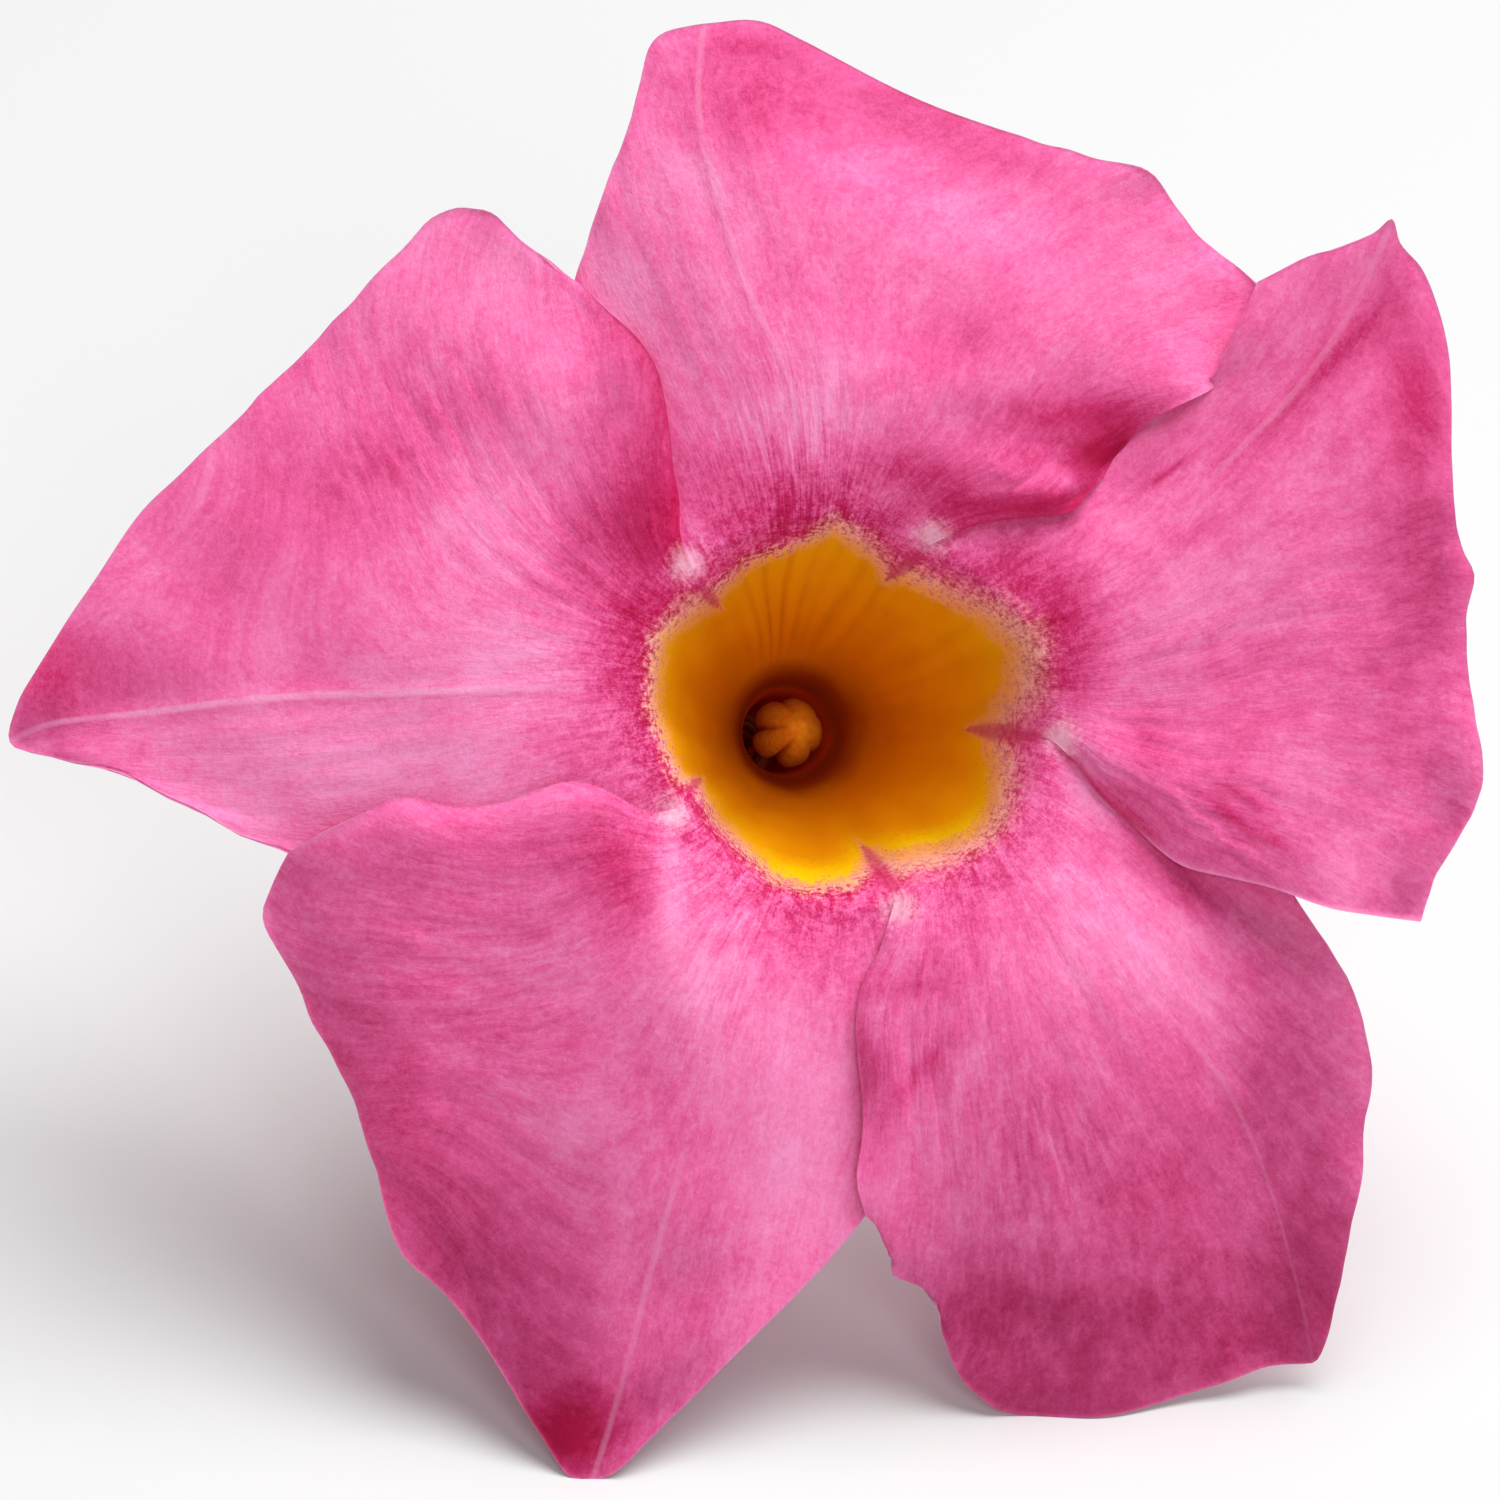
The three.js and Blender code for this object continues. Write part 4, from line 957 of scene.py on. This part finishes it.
# The pale midrib, and the pale line painted as a highlight along the lobes' edges.
VEIN, EDGE_HIGHLIGHT = srgb(252, 176, 212), srgb(250, 160, 205)
SPINDLE, SPOT = srgb(200, 48, 98), srgb(252, 204, 220)
BUTTER, CREAM, YELLOW = srgb(250, 180, 84), srgb(254, 198, 170), srgb(248, 218, 0)
ORANGE, AMBER, UMBER = srgb(240, 170, 0), srgb(236, 152, 0), srgb(196, 112, 0)
# Deep in the throat: brown as painted shade, and deeper down maroon painted for light through the tube's
# wall.
BROWN, MAROON = srgb(160, 60, 2), srgb(255, 96, 24)
BROWN_FROM, MAROON_FROM, MAROON_FULL = 18.2, 22.6, 25.2  # depths in the throat
# Colours of the lobes' back, by a noise of 0 to 1.
BACK = [(0.0, srgb(248, 172, 210)), (0.5, srgb(238, 130, 184)), (1.0, srgb(220, 96, 156))]
# Colours of the throat and of the tube's outside, by depth as a share of the depth before them.
THROAT_DEPTH, THROAT = 30, [(0.1, ORANGE), (0.56, AMBER)]
TUBE_DEPTH, TUBE = 46, [
    (0.0, srgb(244, 176, 188)), (0.2, srgb(242, 204, 150)),
    (0.5, srgb(226, 216, 140)), (1.0, srgb(184, 194, 104)),
]


def petal_noises(g):
    """Noises along the veins, from coarse to fine, and noises in space."""
    fan, place = g.field("p_fan", True), g.place()
    return dict(
        mottle=g.noise(g.scaled(fan, 0.2, 0.16), 1, 4, 0.6, 0.6),
        fibre=g.noise(g.scaled(fan, 1.3, 0.3), 1, 4, 0.62, 0.6),
        stria=g.noise(g.scaled(fan, 2.4, 0.3), 1, 2, 0.5, 0.5),
        hair=g.noise(g.scaled(fan, 4.2, 1.1), 1, 3, 0.62, 0.8),
        soft=g.noise(place, 0.32, 2, 0.5),
        cloud=g.noise(place, 0.55, 4, 0.65),
        grain=g.noise(place, 2.6, 2, 0.6),
        speck=g.noise(place, 7.0, 2, 0.6, 0.5),
    )


def limb_colour(g, ring):
    """The pink of the lobes' inner side. A tone of 0 is pale and 1 is crimson."""
    fall = g.math("POWER", math.e, g.times(g.math("MAXIMUM", ring, 0.0), -1 / FALL_WIDTH))
    net = g.vary(0.5, fibre=1.0, grain=1.0, speck=0.8, cloud=1.6)
    tone = g.add(0.3, g.field("p_tone"))
    tone = g.vary(tone, mottle=0.38, cloud=0.25, fibre=0.34, hair=0.28, grain=0.3)
    tone = g.add(
        tone,
        g.times(g.around(g.noises["stria"], 1.5), g.field("p_streak")),
        g.times(g.around(g.noises["speck"], 0.36), g.add(0.8, fall)),
        g.times(fall, g.span(net, 0.0, 1.0, 0.1, 0.9)),
    )
    pink = g.ramp(tone, [(0.0, PALE), (0.36, PINK), (0.7, DEEP), (1.0, CRIMSON)])
    rib = g.span(g.math("ABSOLUTE", g.field("p_side"), 0.0), 0.32, 0.06)
    rib = g.times(rib, g.field("p_vein"), g.span(g.noises["fibre"], 0.3, 0.6, 0.15, 0.45))
    pink = g.mix(rib, pink, VEIN)
    # Painted shade: darker where the lobe turns away from the light or lies in the shadow of a margin.
    shade = g.times(g.field("p_shade"), g.vary(1.0, cloud=0.8, fibre=0.6))
    pink = g.mix(g.math("MINIMUM", shade, 1.0), pink, g.mix(1.0, pink, SHADED, "MULTIPLY"))
    # Painted: a crimson shadow line on lying edges, and a pale highlight line along the edges.
    pink = g.mix(g.field("p_line"), pink, CRIMSON)
    return g.mix(g.field("p_light"), pink, EDGE_HIGHLIGHT)


def fringe_over(g, ring, pink):
    """The pink with the creamy speckled fringe towards the yellow."""
    fading = g.math("DIVIDE", g.vary(ring, hair=1.0, grain=1.4), g.field("p_fringe"))
    dots = g.vary(g.times(fading, 0.3), speck=0.7, hair=0.6, grain=0.8)
    cream = g.times(g.span(fading, 2.0, 0.4), g.span(dots, 0.75, -0.05, 0.0, 0.95))
    return g.mix(cream, pink, g.mix(g.span(fading, 0.1, 0.9), BUTTER, CREAM))


def throat_colour(g, ragged, deep):
    """Ochre, yellow at its outer edge in places, browner in patches and towards the tube."""
    throat = g.ramp(g.times(deep, 1 / THROAT_DEPTH), THROAT)
    # Partly painted light: the yellow at the throat's edge is brightest in the gold patches.
    throat = g.mix(g.times(g.span(ragged, -1.5, -0.1), g.field("p_gold")), throat, YELLOW)
    patches = g.times(g.around(g.noises["soft"], 0.5), g.span(deep, 4.0, 10.0))
    # The field of browner parts is painted shade; the random patches added to it are the throat's own
    # colour.
    brown = g.math("MAXIMUM", g.add(g.field("p_brown"), patches), 0.0)
    throat = g.mix(g.math("MINIMUM", brown, 1.0), throat, UMBER)
    # Painted shade, brown deep in the throat, then maroon painted for the light that comes through the
    # tube's wall.
    throat = g.mix(g.span(deep, BROWN_FROM, MAROON_FROM), throat, BROWN)
    return g.mix(g.span(deep, MAROON_FROM, MAROON_FULL), throat, MAROON)


def petal_material():
    g = Graph("petal", roughness=0.62, specular=0.12)
    g.glow_through(0.3, (0.6, 0.3, 0.3))
    g.noises = petal_noises(g)
    ring = g.field("p_ring")
    deep = g.vary(g.field("p_depth"), soft=2.0)
    ragged = g.vary(ring, hair=0.8, grain=1.0, cloud=1.2, speck=0.5)
    limb = fringe_over(g, ring, limb_colour(g, ring))
    inner = g.mix(g.span(ragged, 0.18, -0.18), limb, throat_colour(g, ragged, deep))
    spindle = g.vary(g.field("p_spindle"), hair=2.0, speck=1.2)
    inner = g.mix(g.span(spindle, 1.5, 0.4, 0, 0.7), inner, SPINDLE)
    spot = g.vary(g.field("p_spot"), grain=1.4, speck=0.6, fibre=1.2)
    inner = g.mix(g.span(spot, 1.8, 0.0, 0, 0.7), inner, SPOT)

    # The outer side is paler, and yellow and green towards the foot of the tube.
    back = g.ramp(g.vary(0.4, mottle=0.7, fibre=0.6, hair=0.4), BACK)
    tube = g.ramp(g.times(deep, 1 / TUBE_DEPTH), TUBE)
    outer = g.mix(g.span(g.field("p_along"), 1.0, -4.0), back, tube)

    heights = dict(fibre=0.5, hair=0.4, cloud=0.3, grain=0.35, speck=0.2)
    relief = g.add(*(g.times(g.noises[name], height) for name, height in heights.items()))
    relief = g.add(relief, g.times(g.noises["stria"], g.field("p_streak")))
    relief = g.times(relief, g.span(ring, -1.5, 1.0, 0.06, 1.0))
    g.bump(relief, distance_mm=0.2, strength=0.6)
    return g.paint(g.mix(g.field("p_under"), inner, outer))


# Of each tissue: paler and deeper colour, its flush and how much of it, roughness.
STYLE = srgb(222, 218, 150), srgb(196, 198, 116), srgb(206, 190, 110), 0.3, 0.5
GLAND = srgb(214, 196, 104), srgb(186, 168, 70), srgb(196, 150, 70), 0.3, 0.35
SEPAL = srgb(150, 164, 84), srgb(98, 124, 50), srgb(152, 84, 74), 0.55, 0.5
STALK = srgb(134, 156, 78), srgb(84, 112, 44), srgb(140, 92, 66), 0.4, 0.5
# Red painted shade for the tissues deep in the tube, as lit only by light through the petals.
TISSUE_TUBE_SHADE = srgb(210, 60, 20)  # in the tube, where light gets to it through the petals
# Paler and deeper colour of the anthers, and the red-brown painted shade on them deep in the tube.
ANTHER_PALE, ANTHER_DEEP, ANTHER_TUBE_SHADE = srgb(255, 184, 40), srgb(250, 146, 20), srgb(214, 66, 14)


def tissue(name, pale, deep, flush, share, roughness):
    """Smooth tissue with fine streaks along the tube, a flush in patches, and maroon inside the tube."""
    g = Graph(name, roughness, specular=0.35)
    g.glow_through(0.15, (0.6, 0.8, 0.3))
    place = g.place()
    lengthways = g.node("ShaderNodeMapping", dict(vector_type="POINT"), Vector=place)
    lengthways.inputs["Rotation"].default_value = (-tilt, 0, 0)
    streak = g.noise(g.scaled(lengthways.outputs[0], 3.0, 3.0, 0.35), 1, 4, 0.6, 0.3)
    g.noises = dict(streak=streak, grain=g.noise(place, 9.0, 2, 0.6))
    cloud = g.noise(place, 0.6, 3, 0.6)
    colour = g.mix(g.span(g.vary(streak, grain=0.3), 0.3, 0.7), pale, deep)
    colour = g.mix(g.times(g.span(g.vary(cloud, streak=0.3), 0.45, 0.7), share), colour, flush)
    # Painted shade: red deep in the tube.
    colour = g.mix(g.field("p_inside"), colour, TISSUE_TUBE_SHADE)
    g.bump(g.add(streak, g.times(g.noises["grain"], 0.3)), distance_mm=0.06, strength=0.5)
    return g.paint(colour)


def anther_material():
    g = Graph("anther", roughness=0.72, specular=0.2)
    g.glow_through(0.2, (0.8, 0.4, 0.1))
    place = g.place()
    g.noises = dict(grain=g.noise(place, 9.0, 3, 0.7))
    cloud = g.noise(place, 1.4, 3, 0.6)
    colour = g.mix(g.span(g.vary(cloud, grain=0.6), 0.3, 0.7), ANTHER_PALE, ANTHER_DEEP)
    # Painted shade: red-brown deep in the tube.
    colour = g.mix(g.field("p_inside"), colour, ANTHER_TUBE_SHADE)
    g.bump(g.noises["grain"], distance_mm=0.08, strength=0.6)
    return g.paint(colour)


# ------------------------------------------------------------------ stamens, pistil, calyx and stalk
def all_round(sides):
    """Angles of a number of points all the way round."""
    return np.arange(sides) / sides * turn


def skin_of(rings):
    """A closed skin over rings of points, with a fan over either end."""
    count, sides = rings.shape[:2]
    points = np.vstack([rings.reshape(-1, 3), rings[0].mean(0), rings[-1].mean(0)])
    ids = np.arange(count * sides).reshape(count, sides)
    after = np.roll(ids, -1, 1)
    quads = np.stack([ids[:-1], after[:-1], after[1:], ids[1:]], -1).reshape(-1, 4)
    n = count * sides
    first = np.stack([np.full(sides, n), after[0], ids[0]], -1)
    last = np.stack([np.full(sides, n + 1), ids[-1], after[-1]], -1)
    return points, [*quads.tolist(), *first.tolist(), *last.tolist()]


def hoop_of(rings):
    """A closed skin over rings of points of which the last joins the first."""
    ids = np.arange(rings[..., 0].size).reshape(rings.shape[:2])
    below, after = np.roll(ids, -1, 0), np.roll(ids, -1, 1)
    faces = np.stack([ids, after, np.roll(below, -1, 1), below], -1).reshape(-1, 4)
    return rings.reshape(-1, 3), faces.tolist()


def slab_of(grid, half):
    """A closed slab round a grid of points, with a half thickness for each."""
    n = normals_of(grid) * np.asarray(half)[..., None]
    return skin_of(np.concatenate([grid + n, (grid - n)[:, ::-1]], 1))


def turned(outline, sides, shape=1.0):
    """Rings about the tube's axis from (radius, depth) points. shape scales the radius."""
    profile = np.array(outline)
    radius = profile[:, :1] * np.broadcast_to(shape, (len(profile), sides))
    return tube_point(radius, all_round(sides)[None], np.broadcast_to(profile[:, 1:], radius.shape))


def rod_of(path, radius, sides=10):
    """Rings along a line of points. radius is one number or one for each point."""
    path = np.array(path, float)
    ahead = np.gradient(path, axis=0)
    ahead /= np.linalg.norm(ahead, axis=1, keepdims=True)
    side = np.cross(ahead, (1.0, 0.2, 0.1))
    side /= np.linalg.norm(side, axis=1, keepdims=True)
    up = np.cross(ahead, side)
    angle = all_round(sides)[:, None]
    radius = np.broadcast_to(radius, len(path))[:, None, None]
    return path[:, None] + (side[:, None] * np.cos(angle) + up[:, None] * np.sin(angle)) * radius


def smooth_line(outline, count):
    return evenly([(*p, 0) for p in outline], np.linspace(0, 1, count))[:, :2]


def grow_together(thing, voxel):
    """Makes one skin of a thing's closed skins, and softens it."""
    remesh = thing.modifiers.new("remesh", "REMESH")
    remesh.mode, remesh.voxel_size, remesh.use_smooth_shade = "VOXEL", voxel * MM, True
    soften = thing.modifiers.new("soften", "SMOOTH")
    soften.factor, soften.iterations = 0.5, 4
    made = thing.evaluated_get(bpy.context.evaluated_depsgraph_get())
    mesh = bpy.data.meshes.new_from_object(made)
    thing.modifiers.clear()
    thing.data = mesh


BORE = 2.7  # radius about the tube's axis within which a point lies in the tube
TUBE_BOTTOM = -45.2
DARK_FROM, DARK_TO = 20.0, 26.0  # depths between which it gets dark in the tube


def fused(name, solids, material, voxel=None):
    """One piece from closed skins in the bloom's frame, grown together on a grid of voxel millimetres."""
    vertices, polygons = [], []
    for points, faces in solids:
        start = sum(len(v) for v in vertices)
        vertices.append(points)
        corners = [points[list(f[:3])] for f in faces]
        volume = sum(np.dot(a, np.cross(b, c)) for a, b, c in corners)
        polygons += [[start + i for i in (f if volume > 0 else f[::-1])] for f in faces]
    thing = new_mesh(name, to_world(np.vstack(vertices)), polygons, material)
    if voxel:
        grow_together(thing, voxel)
    for v in thing.data.vertices:
        v.co.z = max(v.co.z, LEAST_HEIGHT)
    # Where a point lies deep in the tube, for the painted shade of the tissues there.
    own = np.array([TO_WORLD.inverted() @ v.co for v in thing.data.vertices])
    depth = -own[:, 2]
    radius = np.linalg.norm((own - tube_point(0, 0, depth))[:, :2], axis=1)
    inside = (radius < BORE) & (own[:, 2] > TUBE_BOTTOM)
    add_field(thing.data, "p_inside", inside * smooth(depth, DARK_FROM, DARK_TO))
    return thing


ANTHER_CONE = [  # half section of the cone of anthers: radius and depth
    (0.1, 19.4), (0.5, 19.5), (0.9, 19.95), (1.3, 20.6), (1.65, 21.4), (1.95, 22.4), (2.15, 23.4),
    (2.2, 24.2), (2.1, 24.9), (1.7, 25.4), (0.9, 25.5), (0.4, 25.5),
]
# The middle line of a filament, as radius and depth, and its own radius.
FILAMENT, FILAMENT_RADIUS = [(1.3, 24.8), (1.75, 26), (2.0, 27.6)], 0.2
# How deep the grooves between the anthers are, from the one beyond the first cleft against the clock.
GROOVES = np.array([0.5, 1.0, 1.0, 0.5, 0.15])


def between(angle, others):
    """Angles from each of one list to each of another, without their sign."""
    return np.abs((angle[:, None] - others[None] + math.pi) % turn - math.pi)


def stamens():
    """Five anthers grown against one another into a cone, on short bent filaments."""
    sides, rows = 140, 60
    outline = smooth_line(ANTHER_CONE, rows)
    angle = all_round(sides)
    share = np.clip(between(angle, angles[:5]).min(1) / (turn / 10), 0, 1)
    groove = between(angle, (angles[:5] + angles[1:]) / 2).argmin(1)
    lobe = 1 - 0.5 * GROOVES[groove] * (1 - np.sqrt(np.clip(1 - share**2.6, 0, 1)))
    grown = smooth(outline[:, 1], 19.4, 21.0)[:, None]
    shape = 1 + (lobe - 1) * (0.35 + 0.65 * grown)
    shape += 0.012 * waves(angle[None] * 3, outline[:, 1:], 5, 12, (0.4, 1.2), (0.4, 1.2))
    solids = [skin_of(turned(outline, sides, shape))]
    line = smooth_line(FILAMENT, 12)
    for a in angles[:5]:
        solids.append(skin_of(rod_of(tube_point(line[:, 0], a, line[:, 1]), FILAMENT_RADIUS)))
    return fused("stamens", solids, anther_material(), voxel=0.045)


PISTIL = [  # half section of stigma head, style and carpels, as above
    (0.05, 24.6), (0.3, 24.7), (0.46, 25.0), (0.48, 25.2), (0.3, 25.6), (0.27, 28), (0.25, 33),
    (0.27, 38), (0.35, 40.4), (0.7, 41.3), (0.9, 42.4), (0.8, 43.4), (0.5, 44),
]


def pistil():
    outline, sides = smooth_line(PISTIL, 90), 32
    carpels = 1 - 0.16 * np.cos(2 * all_round(sides)) ** 8 * smooth(outline[:, 1:], 40, 41.5)
    return fused("pistil", [skin_of(turned(outline, sides, carpels))], tissue("style", *STYLE))


# Half section of the ring of glands, as above.
NECTARY = [(1.24, 44), (1.24, 42.9), (1.35, 42.55), (1.55, 42.5), (1.72, 42.8), (1.74, 43.4), (1.7, 44)]


def nectary():
    """Five fleshy glands round the foot of the ovary."""
    outline, sides = smooth_line(NECTARY, 40), 90
    lobed = 1 + 0.07 * np.cos(5 * all_round(sides)) * smooth(outline[:, :1], 1.3, 1.6)
    return fused("nectary", [hoop_of(turned(outline, sides, lobed))], tissue("gland", *GLAND))


# Half section of the calyx's ring, as above, and the depth and size of its sepals.
CALYX_OUTSIDE = [(3.5, 42.6), (3.75, 42.9), (3.82, 43.4), (3.8, 44)]
CALYX_INSIDE = [(3.1, 44), (3.1, 43.2), (3.12, 42.6)]
SEPAL_FOOT, SEPAL_LENGTH, SEPAL_HALF_WIDTH = 43.95, 7.5, 1.22


def sepal(k, angle):
    """A narrow pointed blade along the tube, a little curled and keeled, each one in its own way."""
    t = np.linspace(0, 1, 40)[:, None]
    c = np.linspace(-1, 1, 17)[None]
    half = SEPAL_HALF_WIDTH * np.sqrt(1 - t**1.15) * (1 + 0.9 * t) + 0.05
    radius = 3.5 + 0.6 * t**2 + 0.25 * (c * t) ** 2 - 0.12 * (1 - c**2) * t
    radius = radius + 0.18 * np.sin(5 * t + k) * t
    depth = SEPAL_FOOT - SEPAL_LENGTH * t + 0 * c
    grid = tube_point(radius, angle + c * half / radius + 0.1 * np.sin(2.2 * t + k) * t, depth)
    return slab_of(grid, (0.27 - 0.13 * t) * (1 - 0.55 * c**4) + 0.03 * bell(c, 0.15))


def calyx():
    """A ring with five sepals."""
    ring = np.vstack([smooth_line(CALYX_OUTSIDE, 20), smooth_line(CALYX_INSIDE, 12)])
    solids = [hoop_of(turned(ring, 90))]
    solids += [sepal(k, angle) for k, angle in enumerate(angles[:5])]
    return fused("calyx", solids, tissue("sepal", *SEPAL), voxel=0.075)


# Half section of the cup, as above, and the stalk's middle line in the bloom's frame.
CUP = [(3.2, 44.3), (3.5, 44.55), (3.3, 45.0), (2.6, 45.4), (1.5, 45.9), (1.1, 46.6)]
STALK_LINE = [(-7.25, -2.25, -45.0), (-7.9, -3.1, -49), (-8.0, -5.2, -54), (-7.6, -8.35, -59.6)]


def pedicel():
    """The cup under the calyx and the ribbed stalk, a little wider at both ends."""
    t, sides = np.linspace(0, 1, 90), 40
    path = evenly(STALK_LINE, t)
    radius = 1 + 0.14 * np.clip(1 - 4 * t, 0, 1) + 0.02 * np.sin(9 * t) + 0.03 * smooth(t, 0.96, 1)
    rings = rod_of(path, radius, sides)
    ridge = 1 + 0.025 * np.cos(7 * all_round(sides) + 2 * t[:, None])
    rings = path[:, None] + (rings - path[:, None]) * ridge[..., None]
    solids = [skin_of(turned(smooth_line(CUP, 26), 60)), skin_of(rings)]
    return fused("pedicel", solids, tissue("stalk", *STALK), voxel=0.09)


# ------------------------------------------------------------------ floor, light and camera
FLOOR_HALF, FLOOR_COLOUR = 3.0, (0.76, 0.76, 0.76, 1)  # half of its width, in metres
DAYLIGHT = 0.24  # strength of the white light from all round
# Of each lamp: name, direction that it stands in, distance and size in metres, power in watts.
LAMPS = [("key", (0.3, 0.05, 0.95), 0.9, 0.8, 9.9), ("fill", (0.16, -0.8, 0.6), 1.1, 0.3, 2.2)]
LIT = (0, 0, 0.03)  # the point that the lamps stand round, in metres
# The point in the bloom's frame that the camera looks at, its distance in metres, and its lens.
VIEW_MIDDLE, VIEW_DISTANCE, LENS = (-6.15, -2.25, 0), 0.6, 236.5


def linked(thing):
    bpy.context.scene.collection.objects.link(thing)
    return thing


def lay_floor():
    mesh = bpy.data.meshes.new("floor")
    corners = [(FLOOR_HALF * x, FLOOR_HALF * y, 0) for x, y in ((-1, -1), (1, -1), (1, 1), (-1, 1))]
    mesh.from_pydata(corners, [], [(0, 1, 2, 3)])
    mesh.materials.append(Graph("floor", roughness=0.9, specular=0.1).paint(FLOOR_COLOUR))
    floor = linked(bpy.data.objects.new("floor", mesh))


def light():
    world = bpy.data.worlds.new("studio")
    bpy.context.scene.world = world
    world.use_nodes = True
    background = world.node_tree.nodes["Background"]
    background.inputs["Color"].default_value = (1, 1, 1, 1)
    background.inputs["Strength"].default_value = DAYLIGHT
    for name, direction, distance, size, power in LAMPS:
        lamp = bpy.data.lights.new(name, "AREA")
        lamp.shape, lamp.size, lamp.energy = "DISK", size, power
        thing = linked(bpy.data.objects.new(name, lamp))
        way = Vector(direction).normalized()
        thing.location = Vector(LIT) + way * distance
        thing.rotation_euler = (-way).to_track_quat("-Z", "Y").to_euler()


def camera():
    """Square to the bloom's face, as in the photograph, so it looks down on the bloom."""
    data = bpy.data.cameras.new("camera")
    data.sensor_width, data.lens = 36, LENS
    data.clip_start, data.clip_end = 0.01, 20
    thing = linked(bpy.data.objects.new("camera", data))
    face = Matrix.Rotation(tilt, 4, "X")
    aim = TO_WORLD @ Vector(VIEW_MIDDLE)
    thing.matrix_world = Matrix.Translation(aim + face.col[2].to_3d() * VIEW_DISTANCE) @ face
    bpy.context.scene.camera = thing


# ------------------------------------------------------------------ scene
def piece(thing, slot, *nodes):
    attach(thing, "root")
    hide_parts(*nodes)


piece(corolla(petal_material()), "petal_pink", "corolla_limb", "corolla_throat")
piece(stamens(), "anther", "stamens")
piece(pistil(), "style", "pistil")
piece(nectary(), "gland", "nectary")
piece(calyx(), "sepal", "calyx")
piece(pedicel(), "stalk", "pedicel")
lay_floor()
light()
camera()
bpy.context.scene.view_settings.view_transform = "Standard"
